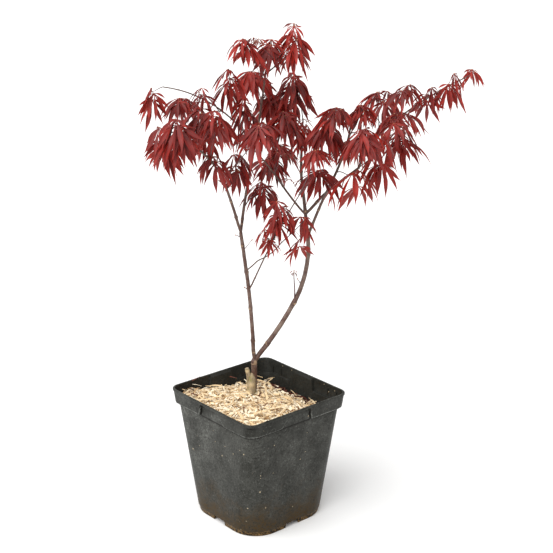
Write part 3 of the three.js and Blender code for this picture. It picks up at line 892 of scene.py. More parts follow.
class MAPLE_OT_compost(bpy.types.Operator):
    """Gives the CAD body of compost its dark, crumbly finish"""
    bl_idname = "maple.compost"
    bl_label = "Finish the compost"

    def execute(self, context):
        compost = frame["nodes"]["compost"]
        compost.material_slots[0].material = bark_compost("composted_bark", context.scene.maple_mulch)
        return {"FINISHED"}


class MAPLE_OT_mulch(bpy.types.Operator):
    """Heaps the mulch round the trunk and strews shavings, crumbs and bark fibres over it"""
    bl_idname = "maple.mulch"
    bl_label = "Spread the mulch"

    def execute(self, context):
        mulch, pot = context.scene.maple_mulch, context.scene.maple_pot
        heap = build_heap(mulch, pot, [packed_shavings(mulch)])
        settle(put_object("mulch_heap", heap), "mulch", "mulch")
        tree = scatter_tree()
        pale = wood_shavings("cream_shavings", mulch.cream, mulch.straw)
        straw = wood_shavings("straw_shavings", mulch.straw, mulch.tan)
        old = wood_shavings("tan_shavings", mulch.tan, paint("#8a6238"))
        fibre = wood_shavings("bark_fibres", mulch.bark, mulch.peat)
        rows = (                 # piece, forms, cover, density, lift, tilt, sizes, seed, finish
            ("shavings_cream", "long_shavings", "cover", mulch.long_density, 4, 0.35, (0.6, 1.1), 11, pale),
            ("shavings_straw", "long_shavings", "cover", mulch.long_density, 3, 0.35, (0.6, 1.1), 12, straw),
            ("shavings_tan", "long_shavings", "cover", mulch.long_density // 5, 4, 0.5, (0.5, 1.0), 13, old),
            ("slivers_cream", "slivers", "cover", mulch.long_density // 3, 6, 1.0, (0.6, 1.1), 20, pale),
            ("slivers_straw", "slivers", "cover", mulch.long_density // 5, 6, 1.2, (0.6, 1.1), 21, straw),
            ("crumbs_cream", "crumbs", "short_cover", mulch.crumb_density, 3, 0.45, (0.6, 1.2), 14, pale),
            ("crumbs_straw", "crumbs", "short_cover", mulch.crumb_density, 3, 0.45, (0.6, 1.2), 15, straw),
            ("bits_cream", "bits", "rim_cover", mulch.crumb_density * 3, 2, 0.5, (0.6, 1.2), 18, pale),
            ("bits_straw", "bits", "rim_cover", mulch.crumb_density * 2, 2, 0.5, (0.6, 1.2), 19, straw),
            ("fibres_bark", "fibres", "bare", mulch.fibre_density, 2, 0.5, (0.7, 1.3), 16, fibre),
            ("fibres_strewn", "fibres", "cover", mulch.fibre_density // 60, 6, 0.5, (0.7, 1.3), 17, fibre),
        )
        for name, kind, cover, density, lift, tilt, sizes, seed, finish in rows:
            forms = strip_forms(kind, seed)
            host = heap.copy()
            values = [0.0] * len(host.vertices)
            host.attributes[cover].data.foreach_get("value", values)
            host.attributes["cover"].data.foreach_set("value", values)
            piece = run_tree(tree, name, host, {
                "Forms": forms, "Density": float(density), "Lift": lift * MM, "Tilt": tilt,
                "Smallest": sizes[0], "Largest": sizes[1], "Seed": seed, "Finish": finish,
            })
            drop_collection(forms)
            settle(piece, "compost" if "fibres" in name else "mulch")
        return {"FINISHED"}


# ---- Lines through the CAD limbs ----
SPRING_STEP = 5 * MM             # spacing of the places on a limb that others can spring from
CAP_FLATNESS = 0.999             # least cosine between the facets of a flat end cap
RING_SPREAD = 0.12               # how uneven a ring's radius may be, of its mean
STRAIGHT = 0.75                  # how straight a limb's line is carried back into the limb before it


def cap_rings(node):
    """For each round end of a CAD node, the middles and radii of its rings walked inwards from that end."""
    shape = bmesh.new()
    shape.from_mesh(frame["nodes"][node].data)
    bmesh.ops.remove_doubles(shape, verts=shape.verts, dist=WELD)
    chains = []
    for cap in shape.verts:
        normals = [face.normal for face in cap.link_faces]
        if len(cap.link_edges) != LIMB_SIDES or min(normals[0].dot(n) for n in normals) < CAP_FLATNESS:
            continue
        layer = [edge.other_vert(cap) for edge in cap.link_edges]
        seen, chain = {cap}, []
        while len(layer) == LIMB_SIDES:
            spots = np.array([v.co for v in layer])
            reach = np.linalg.norm(spots - spots.mean(0), axis=1)
            if reach.std() > RING_SPREAD * reach.mean():
                break
            chain.append((spots.mean(0), reach.mean()))
            seen |= set(layer)
            layer = list({edge.other_vert(v) for v in layer for edge in v.link_edges} - seen)
        if chain:
            chains.append(chain)
    shape.free()
    return chains


def limb_lines():
    """Every limb's line from foot to tip, each carried down into the limb that it springs from.

    The limb that lies nearest and straightest ahead of what has grown so far is joined on first.
    """
    bare = {}
    for node in LIMBS:
        chain = max(cap_rings(node), key=len)
        if chain[0][1] < chain[-1][1]:
            chain.reverse()
        bare[node] = Line(*map(np.array, zip(*chain)))
    fork, width = max(cap_rings("trunk"), key=lambda chain: chain[0][0][2])[0]
    grown, lines = fork[None, :] - UP * width, {}
    while bare:
        best = None
        for node, line in bare.items():
            reach = line.points[0] - grown
            far = np.linalg.norm(reach, axis=1) + WELD
            ahead = reach @ unit(line.points[1] - line.points[0]) / far
            cost = far * (2 - ahead) ** 3
            if best is None or cost.min() < best[0]:
                best = (cost.min(), node, grown[np.argmin(cost)])
        _, node, spring = best
        line = bare.pop(node)
        heading = unit(line.points[1] - line.points[0])
        back = max(np.dot(line.points[0] - spring, heading), line.radii[0])
        spring = (line.points[0] - heading * back) * STRAIGHT + spring * (1 - STRAIGHT)
        points = np.vstack([spring, line.points])
        lines[node] = Line(points, np.concatenate([line.radii[:1], line.radii]))
        grown = np.vstack([grown, smooth_line(lines[node], SPRING_STEP)[0].points])
    return lines


def smooth_line(line, step):
    """Evenly spaced points on a smooth curve through a line's points, with their radii."""
    points, radii = line.points, line.radii
    ends = np.vstack([2 * points[0] - points[1], points, 2 * points[-1] - points[-2]])
    dense, sizes = [], []
    for i in range(len(points) - 1):
        a, b, c, d = ends[i:i + 4]
        for t in np.linspace(0, 1, 12, endpoint=False):
            dense.append(0.5 * (2 * b + (c - a) * t + (2 * a - 5 * b + 4 * c - d) * t ** 2
                                + (3 * b - a - 3 * c + d) * t ** 3))
            sizes.append(radii[i] + (radii[i + 1] - radii[i]) * t)
    dense, sizes = np.array(dense + [points[-1]]), np.array(sizes + [radii[-1]])
    along = np.concatenate([[0], np.cumsum(np.linalg.norm(np.diff(dense, axis=0), axis=1))])
    even = np.linspace(0, along[-1], max(int(along[-1] / step), 3) + 1)
    spots = np.stack([np.interp(even, along, dense[:, k]) for k in range(3)], axis=1)
    return Line(spots, np.interp(even, along, sizes)), even


def frames_along(points):
    """Two sideways directions at each point of a line, carried along it without twisting."""
    heading = np.gradient(points, axis=0)
    heading /= np.linalg.norm(heading, axis=1)[:, None]
    side = unit(np.cross(heading[0], [0.3, 0.9, 0.2]))
    firsts, seconds = [], []
    for direction in heading:
        side = unit(side - direction * side.dot(direction))
        firsts.append(side)
        seconds.append(np.cross(direction, side))
    return np.array(firsts), np.array(seconds), heading


# ---- Bark ----
class BarkSettings(bpy.types.PropertyGroup):
    """Sizes and colours of the trunk's and the limbs' bark."""
    step: length("Ring spacing", "Spacing of the rings of points along the bark", 1.8)
    sides: count("Sides", "Points round each ring", 20)
    node_gap: length("Node spacing", "Distance between the nodes of the thinnest shoots", 20)
    node_stretch: number("Node stretch", "Further node spacing, in radii of the limb", 13)
    node_swell: share("Node swelling", "How much thicker a limb is at a node", 0.13)
    scar_height: share("Scar height", "How far a leaf scar stands out, of the radius", 0.26)
    stock_height: length("Rootstock height", "Height of the graft above the rootstock's foot", 63)
    stub_height: length("Stub height", "Height of the rootstock's cut stub above its foot", 75)
    stock_shift: length("Rootstock shift", "How far the rootstock stands beside the trunk's foot", 2.6)
    stub_lean: length("Stub lean", "How far the stub leans away from the scion", 8.2)
    stub_radius: length("Stub", "Radius of the cut stub", 3.6)
    rootstock_radius: length("Rootstock", "Radius of the rootstock above its flare", 7.8)
    scion_aside: length("Scion offset", "How far beside the rootstock's middle the scion runs", 5)
    scion_behind: length("Scion set back", "How far behind the rootstock's middle the scion runs", 4)
    young: colour("Young bark", "Purple-brown bark of the stems", "#5c3d33")
    shaded: colour("Shaded bark", "Darker streaks in the stems' bark", "#432c25")
    bloom: colour("Bloom", "Waxy grey bloom", "#877468")
    scar: colour("Scar", "Corky scars at the nodes", "#a48a6f")
    old: colour("Rootstock bark", "Cream-grey bark of the rootstock", "#a49277")
    crack: colour("Crack", "Fine cracks in the rootstock's bark", "#6b5739")
    moss: colour("Algae", "Yellow-green film on the rootstock", "#837e45")


ALL_ROUND = 9.0                  # span, in radians, of a scar that runs right round
NODE_LENGTH = 1.3                # how far a node's swelling reaches along the limb, in radii
SCAR_LENGTH, SCAR_SPAN = 0.75, 0.55    # how far a leaf scar reaches: along, in radii, and round, in radians
KINK = 0.08                      # how far a limb shifts sideways at a node, in radii
LAST_NODE = 4 * MM               # least distance from a limb's end to its last node
TIP_RINGS = ((0.45, 0.86), (0.75, 0.6), (0.92, 0.3))    # rise and radius of the rings that round off a tip
# At each point from the foot up: shares of a height, lean, offset or radius, and the rootstock's drift.
STOCK_HEIGHTS = np.array([0, 0.15, 0.32, 0.55, 0.76, 0.88, 0.95, 1.0])
STOCK_DRIFT = np.array([0, 0, 0, 0, 0, 0.4, 1.0, 1.6]) * MM
STOCK_RADII = np.array([1, 1, 1, 1, 0.98, 0.9, 0.74, 0.46])
STUB_HEIGHTS = np.array([0.5, 0.66, 0.8, 0.9, 1.0])
STUB_LEANS = np.array([0.42, 0.46, 0.56, 0.78, 1.0])
STUB_RADII = np.array([1.3, 1.35, 1.25, 1.05, 0.94])
SCION_HEIGHTS = np.array([0.2, 0.42, 0.62, 0.82])
SCION_ASIDE = np.array([0.8, 1.0, 1.05, 1.0])
SCION_BEHIND = np.array([0.6, 1.0, 0.8, 0.4])
SCION_RADII = np.array([0.8, 0.96, 1.0, 1.02, 0.98, 0.8])


def ridges(along, around, rng, radius):
    """Uneven lengthwise ridges, as shares of the radius."""
    total = np.zeros((len(along), len(around)))
    for folds, depth in ((2, 0.03), (3, 0.02), (5, 0.018), (8, 0.012)):
        drift = rng.uniform(0.4, 1.3) / (radius * 14)
        total += depth * np.sin(folds * around[None, :] + along[:, None] * drift + rng.uniform(0, math.tau))
    for pitch, depth in ((6, 0.02), (2.7, 0.012)):
        total += depth * np.sin(along[:, None] * math.tau / (pitch * radius) + rng.uniform(0, math.tau)
                                + 1.4 * np.sin(around[None, :] + rng.uniform(0, math.tau)))
    return total


def bark_tube(name, line, bark, rng, material, scars=(), end_round=True):
    """A limb in relief: even rings with ridges, nodes with paired leaf scars, and extra corky scars.

    An extra scar is its place along the limb, width, height, the way that it faces, and its span in radians.
    """
    line, along = smooth_line(line, bark.step)
    points, radii = line.points.copy(), line.radii.copy()
    around = np.arange(bark.sides) / bark.sides * math.tau
    firsts, seconds, heading = frames_along(points)
    swell = np.zeros(len(along))
    bumps = ridges(along, around, rng, radii.mean())
    corky = np.zeros_like(bumps)
    gap = bark.node_gap + bark.node_stretch * radii.mean()
    at, turn = gap * rng.uniform(0.5, 0.9), rng.uniform(0, math.pi)
    while at < along[-1] - LAST_NODE:
        radius = float(np.interp(at, along, radii))
        near = np.exp(-((along - at) / (NODE_LENGTH * radius)) ** 2)
        swell += bark.node_swell * near
        line_mark = np.exp(-((along - at + 0.5 * radius) / (0.35 * radius + 0.3 * MM)) ** 2)
        corky += 0.42 * line_mark[:, None]
        for side in (turn, turn + math.pi):
            apart = np.angle(np.exp(1j * (around - side)))
            spot = np.exp(-((along - at) / (SCAR_LENGTH * radius)) ** 2)[:, None]
            spot = spot * np.exp(-(apart / SCAR_SPAN) ** 2)
            bumps += bark.scar_height * spot
            corky += 0.8 * spot
        kink = (firsts * math.cos(turn) + seconds * math.sin(turn)) * KINK * radius
        points += kink * np.clip((along - at) / (3 * radius), -1, 1)[:, None]
        turn += math.pi / 2 + rng.uniform(-0.2, 0.2)
        at += gap * rng.uniform(0.7, 1.3)
    for spot_at, wide, height, facing, span in scars:
        near = np.exp(-((along - spot_at) / wide) ** 2)[:, None]
        ring = int(np.argmin(abs(along - spot_at)))
        towards = math.atan2(np.dot(facing, seconds[ring]), np.dot(facing, firsts[ring]))
        apart = np.angle(np.exp(1j * (around - towards)))
        patch = near * np.exp(-(apart / span) ** 2)[None, :]
        bumps += height * patch
        corky += 1.3 * patch
    reach = radii[:, None] * (1 + swell[:, None] + bumps)
    cos, sin = np.cos(around), np.sin(around)
    outward = firsts[:, None, :] * cos[:, None] + seconds[:, None, :] * sin[:, None]
    rings = points[:, None, :] + reach[:, :, None] * outward
    tip, last, run = radii[-1], rings[-1] - points[-1], along
    if end_round:
        rounded = [points[-1] + heading[-1] * tip * lift + last * narrow for lift, narrow in TIP_RINGS]
        rings = np.concatenate([rings, rounded])
        run = np.concatenate([along, along[-1:] + tip * np.array([lift for lift, _ in TIP_RINGS])])
    mesh = make_mesh(name, *skin(rings), [material], sharp_above=70)
    extra = len(rings) - len(corky)
    marks = np.vstack([corky, np.zeros((extra, bark.sides))]).ravel()
    put_attribute(mesh, "scar", "FLOAT", "POINT", np.clip(np.concatenate([marks, [0, 0]]), 0, 1))
    # Where each point would lie if the limb were straight, so that the grain follows the limb.
    radius = np.concatenate([radii, [tip] * extra])
    straight = [np.outer(radius, cos), np.outer(radius, sin), np.outer(run, np.ones(bark.sides))]
    laid = np.vstack([np.stack(straight, axis=2).reshape(-1, 3), [0, 0, run[0]], [0, 0, run[-1]]])
    put_attribute(mesh, "bark_place", "FLOAT_VECTOR", "POINT", laid)
    return mesh


def young_bark(bark):
    """Young maple bark: smooth purple-brown with a grey waxy bloom, fine streaks and tan corky scars."""
    def build(add, place):
        laid = add("Attribute", out="Vector", attribute_name="bark_place")
        drawn = add("Mapping", {"Vector": laid, "Scale": (1.0, 1.0, 0.16)})
        streak = add("TexNoise", (drawn, per(1.4), 4))
        dark = add("MapRange", (streak, 0.35, 0.65))
        base = add("Mix RGBA", (dark, bark.shaded, bark.young))
        cloud = add("TexNoise", (place, per(14), 4))
        waxy = add("MapRange", (cloud, 0.42, 0.7, 0.05, 0.75))
        level = add("VectorMath MULTIPLY", (laid, (1.0, 1.0, 0.0)))
        girth = add("VectorMath LENGTH", (level,))
        stout = add("MapRange", (girth, 1.5 * MM, 4 * MM, 0.25, 1))
        bloomed = add("Math MULTIPLY", (waxy, stout))
        hazy = add("Mix RGBA", (bloomed, base, bark.bloom))
        pores = add("TexVoronoi", (laid, per(3.4)))
        pore = add("MapRange", (pores, 0.09, 0.17, 0.35, 0))
        dotted = add("Mix RGBA", (pore, hazy, bark.scar))
        mark = add("Attribute", out="Fac", attribute_name="scar")
        ragged = add("Math MULTIPLY", (mark, streak))
        corky = add("MapRange", (ragged, 0.16, 0.42, 0, 0.9))
        final = add("Mix RGBA", (corky, dotted, bark.scar))
        rough = add("MapRange", (corky, 0, 1, 0.5, 0.85))
        bump = add("Bump", {"Height": streak, "Strength": 0.35, "Distance": 0.4 * MM})
        return {"Base Color": final, "Roughness": rough, "Normal": bump, "IOR": 1.45}
    return surface("young_maple_bark", build)


def rootstock_bark(bark):
    """Older maple bark: matt cream-grey, finely cracked lengthwise, with a yellow-green film of algae."""
    def build(add, place):
        laid = add("Attribute", out="Vector", attribute_name="bark_place")
        drawn = add("Mapping", {"Vector": laid, "Scale": (1.0, 1.0, 0.22)})
        streak = add("TexNoise", (drawn, per(2.2), 6, 0.65))
        cracked = add("MapRange", (streak, 0.34, 0.5, 0.85, 0))
        base = add("Mix RGBA", (cracked, bark.old, bark.crack))
        cloud = add("TexNoise", (place, per(9), 3))
        film = add("MapRange", (cloud, 0.52, 0.66, 0, 0.7))
        green = add("Mix RGBA", (film, base, bark.moss))
        mark = add("Attribute", out="Fac", attribute_name="scar")
        cut = add("Mix RGBA", (mark, green, paint("#c9b48d")))
        bump = add("Bump", {"Height": streak, "Strength": 0.7, "Distance": 0.8 * MM})
        return {"Base Color": cut, "Roughness": 0.85, "Normal": bump}
    return surface("cracked_rootstock_bark", build)


def trunk_lines(bark):
    """The rootstock's line with its flare, its cut stub's line, and the scion's line up to the fork."""
    chains = sorted(cap_rings("trunk"), key=lambda chain: chain[0][0][2])
    foot, foot_radius = chains[0][0]
    fork, scion_radius = chains[-1][0]
    aside = unit((fork - foot) * [1, 1, 0])
    behind = np.cross(UP, aside)
    foot = foot + aside * bark.stock_shift

    def route(*moves):
        """Points from the foot, moved by shares of a vector."""
        return foot + sum(direction * shares[:, None] for direction, shares in moves)

    flare = (foot_radius - bark.rootstock_radius) * np.exp(-STOCK_HEIGHTS * bark.stock_height / (9 * MM))
    stock = route((UP * bark.stock_height, STOCK_HEIGHTS), (aside, STOCK_DRIFT))
    stub = route((UP * bark.stub_height, STUB_HEIGHTS), (-aside * bark.stub_lean, STUB_LEANS))
    run = route((UP * (fork[2] - foot[2]), SCION_HEIGHTS), (aside * bark.scion_aside, SCION_ASIDE),
                (behind * bark.scion_behind, SCION_BEHIND))
    scion = np.vstack([run, fork, fork + UP * MM])
    return (Line(stock, bark.rootstock_radius * STOCK_RADII + flare),
            Line(stub, bark.stub_radius * STUB_RADII), Line(scion, SCION_RADII * scion_radius))


class MAPLE_OT_trunk(bpy.types.Operator):
    """Makes the grafted trunk: the pale rootstock with its cut stub, and the darker scion up to the fork"""
    bl_idname = "maple.trunk"
    bl_label = "Make the trunk"

    def execute(self, context):
        bark = context.scene.maple_bark
        rng = random.Random(3)
        stock, stub, scion = trunk_lines(bark)
        rough = rootstock_bark(bark)
        aside = unit((scion.points[-1] - stock.points[0]) * [1, 1, 0])
        front = np.cross(aside, UP)
        high, tall = bark.stock_height, bark.stub_height
        lumps = [(high * 0.72, 4 * MM, 0.12, front, 0.8), (high * 0.5, 3 * MM, 0.1, front - aside, 0.6)]
        cut = [(tall * 0.44, 2.5 * MM, 0.12, UP, ALL_ROUND), (6 * MM, 3 * MM, 0.12, -aside, 0.9)]
        end = float(np.linalg.norm(np.diff(scion.points, axis=0), axis=1).sum())
        collars = [(end - 6 * MM, 0.7 * MM, 0.05, UP, ALL_ROUND),
                   (end - 3 * MM, 5 * MM, 0.1, front + aside * 0.6, 0.75)]
        pieces = (
            bark_tube("rootstock_bark", stock, bark, rng, rough, lumps),
            bark_tube("rootstock_stub", stub, bark, rng, rough, cut, end_round=False),
            bark_tube("scion_bark", scion, bark, rng, young_bark(bark), collars),
        )
        for mesh in pieces:
            settle(put_object(mesh.name, mesh), "trunk", "trunk")
        return {"FINISHED"}


class MAPLE_OT_limbs(bpy.types.Operator):
    """Lays bark in relief along the stems, boughs and shoots, with nodes and leaf scars"""
    bl_idname = "maple.limbs"
    bl_label = "Make the stems and boughs"

    def execute(self, context):
        bark = context.scene.maple_bark
        material = young_bark(bark)
        for index, (node, line) in enumerate(sorted(limb_lines().items())):
            rng = random.Random(20 + index)
            inside = np.linalg.norm(line.points[1] - line.points[0]) * 0.8
            collar = [(inside, 1.0 * MM, 0.05, UP, ALL_ROUND)] if index % 2 else []
            mesh = bark_tube(f"{node}_bark", line, bark, rng, material, collar)
            settle(put_object(f"{node}_bark", mesh), "limb", node)
        return {"FINISHED"}


# ---- Leaves ----
class LeafSettings(bpy.types.PropertyGroup):
    """Sizes and colours of the leaves, stalks and twigs."""
    seed: count("Seed", "Seed of the branching rule", 2)
    longest: length("Longest lobe", "Middle lobe of the largest leaves", 84)
    shortest: length("Shortest lobe", "Middle lobe of the smallest grown leaves", 42)
    young: length("Young leaf", "Middle lobe of a leaf that is still unfolding", 31)
    most: count("Most leaves", "Most leaves in one mass", 10)
    petiole: length("Longest stalk", "Longest leaf stalk", 38)
    petiole_radius: length("Stalk radius", "Radius of a leaf stalk", 0.42)
    twig_radius: length("Twig radius", "Radius of a twig at its foot", 1.0)
    lobe_width: share("Lobe width", "Greatest width of a lobe, of its length", 0.13)
    maroon: colour("Maroon", "Common upper side", "#671c1a")
    # The greyer wine tone stands partly for painted sheen on leaves that face the sky.
    wine: colour("Wine", "Greyer upper side", "#692524")
    red: colour("Red", "Redder upper side", "#7b1a13")
    # The bright crimson stands partly for painted glow of light through the inner and low leaves.
    crimson: colour("Crimson", "Brightest upper side", "#8d1f16")
    dusk: colour("Dusk", "Darkest upper side", "#551614")
    bronze: colour("Bronze", "Greenish-brown upper side", "#603624")
    # The underside's brighter red is partly its own colour and partly painted glow of light shining through the
    # blade.
    under: colour("Underside", "Paler, redder underside", "#841e15")
    # The rim colour is partly the lobes' own redder edge and partly painted glow of light through the thin
    # margins and tips.
    rim: colour("Rim", "Thin redder edge of the lobes", "#9b2114")
    vein: colour("Vein", "Midribs and veins", "#813f3b")
    joint: colour("Joint", "Pale joint of stalk and blade", "#9f5f40")
    stalk: colour("Stalk", "Leaf stalks", "#6e2a2d")
    twig: colour("Twig", "Bark of the twigs", "#422526")


TONES = ("maroon", "wine", "red", "crimson", "dusk", "bronze")
TONE_SHARES = (34, 16, 26, 12, 12, 0)
KNOWN_TONES = {                  # masses whose tone is known by where they grow
    "maroon": "left_front left_face long_inner",
    # Partly painted sheen: the greyer wine goes on masses whose leaves face the sky.
    "wine": "grey upper left_arch",
    # Partly painted glow: the brighter red and crimson go on inner, low and under masses that are lit through
    # their leaves.
    "red": "top far_left inner inner_end long_outer right_under",
    "crimson": "tip long_end front_low low",
    "dusk": "shoulder centre",
    "bronze": "inner_right",
}
OPEN_SPRAYS = {                  # masses at the tree's edge or apart from the rest, by their number of leaves
    3: "front_low far_left left_arch tip long_end",
    4: "long_outer long_inner low",
    5: "left_edge upper_left right_under high_left arch_front left_low hanging inner_end bough_end",
    6: "top stem right_edge upper right_back leader",
    8: "shoulder",
    9: "inner",
}
LOBES = ((0, 1.0), (32, 0.94), (66, 0.76), (110, 0.4))    # angle from the middle lobe, share of its length
FIVE_LOBES = ((0, 1.0), (36, 0.9), (78, 0.6))
LOBE_STEPS = 10
HIGHEST = 0.1                    # steepest climb of a lobe as it leaves the joint
SIDE_BEND = 0.3                  # how much further down the side lobes bend
BLADE = 0.004                    # half the blade's thickness at the midrib, of the middle lobe's length
NECK = 0.26                      # least width of a lobe at its base, of its widest
TOOTH = 0.06                     # how far the teeth stand out, of the lobe's width
LOBE_SHAPE = (2.0, 1.8)          # how slowly a lobe widens from its base, and how slowly from its tip
# How a leaf hangs: its blade's fall below level, how far its lobes bend down, its fan, fold and lobes.
HABITS = {
    "spreading": (12, 0.58, 1.1, 0.4, LOBES),
    "drooping": (30, 0.52, 1.1, 0.42, LOBES),
    "hanging": (50, 0.42, 1.05, 0.45, LOBES),
    "closed": (64, 0.36, 0.85, 0.5, LOBES),
    "small": (32, 0.48, 1.1, 0.4, FIVE_LOBES),
    "young": (2, 0.5, 0.85, 0.4, FIVE_LOBES),
}
FORMS_EACH = 6
BY_SLIMNESS = (                  # least drop of a mass over its width, and the habits drawn for its leaves
    (1.9, ("closed", "closed", "hanging", "small")),
    (1.3, ("closed", "hanging", "hanging", "drooping")),
    (0.95, ("hanging", "hanging", "drooping", "spreading")),
    (0, ("hanging", "drooping", "spreading", "spreading")),
)
BY_DROP, BY_WIDTH = 0.82, 0.85   # a mass's fullest leaf, as shares of the mass's drop and half width
SLIM_LEAF, SLIM_RISE = 23 * MM, 2.6    # fullest leaf of a slim mass: a length, and its growth with half width
SIZE_SPREAD = (0.7, 1.08)        # smallest and largest leaf in a mass, of its fullest
YOUNG_SPREAD = (0.9, 1.3)        # smallest and largest young leaf, of the usual one
HANG = 0.62                      # how far a leaf hangs below its joint, of its size
TRIES = 14                       # ways tried to hang each leaf, of which the best is kept
LOBE_REACH = 6 * MM              # how near a midrib a spot is covered by its lobe
STRAY = 22 * MM                  # how far outside its mass a leaf may hang before it counts as lost
MOST_ASTRAY = 20 * MM            # how far outside a single spot of a leaf counts at most
HEAD_DEPTH = 7 * MM              # how far below a mass's top its twig ends
LEAF_ROOM = 3.4 * MM             # half width of a mass for each leaf it can hold
LEFT_BARE = 0.1                  # share of a mass's surface that may stay uncovered
YOUNG_ABOVE = 0.985              # share of the plant's height above which the leaves are young
# Limb, share along it, azimuth, rise (degrees), length, foot radius (mm), young leaves and their length (mm).
SHOOTS = (
    ("right_stem", 0.5, -40, 88, 60, 1.5, 2, 14),
    ("right_stem", 0.66, 160, 55, 13, 1.0, 0, 0),
    ("left_stem", 0.97, 140, 20, 8, 1.1, 0, 0),
    ("left_stem", 0.88, -75, 48, 26, 0.8, 0, 0),
    ("left_stem", 0.55, 160, 40, 7, 1.0, 0, 0),
    ("right_long_tip", 0.3, -50, 24, 42, 0.8, 2, 27),
    ("right_upper_bough", 0.35, 190, 48, 42, 0.7, 2, 30),
    ("left_leader", 0.97, 160, 62, 40, 0.6, 2, 27),
    ("left_low_bough", 0.5, 120, 30, 10, 0.8, 0, 0),
    ("back_bough", 0.6, 10, 55, 34, 0.7, 2, 30),
    ("top_shoot", 0.15, 150, 62, 52, 0.8, 2, 27),
    ("top_shoot", 0.55, 170, 40, 58, 0.8, 2, 27),
)


def by_mass(table):
    """The table's value for each mass that it names."""
    return {f"foliage_{name}": value for value, names in table.items() for name in names.split()}


def lobe_form(angle, share_of, habit, settings, rng):
    """One lobe on a curve that bends down, as rings of left edge, midrib above, right edge, midrib below."""
    fall, bend, fan, fold, _ = HABITS[habit]
    slope = math.radians(fall)
    axis = np.array([math.cos(slope), 0, -math.sin(slope)])
    face = np.array([math.sin(slope), 0, math.cos(slope)])
    spread = math.radians(angle * fan + rng.uniform(-8, 8))
    heading = axis * math.cos(spread) + np.array([0, 1, 0]) * math.sin(spread)
    heading = unit(heading + face * rng.uniform(-0.1, 0.16))
    heading[2] = min(heading[2], HIGHEST)
    across = unit(np.cross(face, heading))
    long = share_of * rng.uniform(0.8, 1.08)
    widest = settings.lobe_width / 2 * long ** 0.6 * rng.uniform(0.82, 1.15)
    bend = bend * rng.uniform(0.8, 1.2) * (1 + SIDE_BEND * abs(math.sin(spread)))
    twist = rng.uniform(-1.0, 1.0)
    flick = rng.uniform(-0.1, 0.36)
    sway = rng.uniform(-0.3, 0.3)
    rise, droop = LOBE_SHAPE
    peak = rise / (rise + droop)
    spot = np.zeros(3)
    rings, places = [], []
    for step in range(LOBE_STEPS + 1):
        t = step / LOBE_STEPS
        weight = bend * (0.25 * (1 - math.exp(-t * 5)) + 0.85 * t) - flick * t ** 3
        direction = unit(heading * (1 - weight) - UP * weight + across * sway * t)
        if step:
            spot = spot + direction * long / LOBE_STEPS
        across = unit(across - direction * across.dot(direction))
        across = unit(across + np.cross(direction, across) * twist / LOBE_STEPS)
        normal = np.cross(direction, across)
        shape = (t / peak) ** rise * ((1 - t) / (1 - peak)) ** droop
        half = widest * (max(shape, NECK * (1 - t)) + TOOTH * (step % 2) * shape)
        lift = normal * fold * half
        thick = normal * (BLADE * (1 - 0.6 * t))
        rings.append([spot - across * half + lift, spot + thick, spot + across * half + lift, spot - thick])
        places.append(t)
    return rings, places


def leaf_form(name, habit, settings, rng):
    """A leaf with its joint at the origin and its middle lobe towards +X, one unit long."""
    points, faces, uppers, places = [], [], [], []
    for angle, share_of in HABITS[habit][-1]:
        for side in ((1,) if angle == 0 else (1, -1)):
            rings, along = lobe_form(side * angle, share_of, habit, settings, rng)
            base = len(points)
            for ring, t in zip(rings[:-1], along):
                points += ring
                places += [(t, 0), (t, 0.5), (t, 1), (t, 0.5)]
            points.append(rings[-1][1])
            places.append((1, 0.5))
            tip = base + LOBE_STEPS * 4
            for step in range(LOBE_STEPS - 1):
                low, high = base + step * 4, base + step * 4 + 4
                for k in range(4):
                    faces.append((low + k, low + (k + 1) % 4, high + (k + 1) % 4, high + k))
                    uppers.append(k < 2)
            last = base + (LOBE_STEPS - 1) * 4
            for k in range(4):
                faces.append((last + k, last + (k + 1) % 4, tip))
                uppers.append(k < 2)
            faces.append((base + 3, base + 2, base + 1, base))
            uppers.append(False)
    mesh = make_mesh(name, points, faces, sharp_above=50)
    put_attribute(mesh, "upper", "BOOLEAN", "FACE", uppers)
    layer = mesh.uv_layers.new(name="lobe")
    corners = np.array([loop.vertex_index for loop in mesh.loops])
    layer.data.foreach_set("uv", np.array(places)[corners].ravel())
    return mesh


def ball_form(name, long, wide, sides=7, levels=5):
    """A small closed pointed ball, standing on the origin."""
    rings = []
    for level in range(levels):
        t = (level + 0.5) / levels
        radius = wide * math.sin(math.pi * t ** 0.8)
        rings.append([(radius * math.cos(a), radius * math.sin(a), long * t)
                      for a in (math.tau * i / sides for i in range(sides))])
    return make_mesh(name, *skin(rings))


def leaf_forms(settings):
    """Every leaf form as a mesh, and by habit its number and the points along its midribs at unit size."""
    rng = random.Random(settings.seed)
    meshes, forms = [], {}
    for habit in HABITS:
        for _ in range(FORMS_EACH):
            mesh = leaf_form(f"leaf_{len(meshes):02d}", habit, settings, rng)
            spots = np.array([v.co for v in mesh.vertices]).reshape(-1, LOBE_STEPS * 4 + 1, 3)
            ribs = spots[:, list(range(5, LOBE_STEPS * 4, 4)) + [-1]]
            forms.setdefault(habit, []).append((len(meshes), ribs))
            meshes.append(mesh)
    return meshes, forms


# ---- The branching rule ----
def level(azimuth):
    """The level direction at an angle from +X."""
    return np.array([math.cos(azimuth), math.sin(azimuth), 0.0])


def bow(start, end, leave, arrive, steps):
    """A smooth path from start to end with its directions of leaving and arriving."""
    t = np.linspace(0, 1, steps + 1)[:, None]
    span = np.linalg.norm(end - start)
    return ((2 * t ** 3 - 3 * t ** 2 + 1) * start + (t ** 3 - 2 * t ** 2 + t) * leave * span
            + (3 * t ** 2 - 2 * t ** 3) * end + (t ** 3 - t ** 2) * arrive * span)


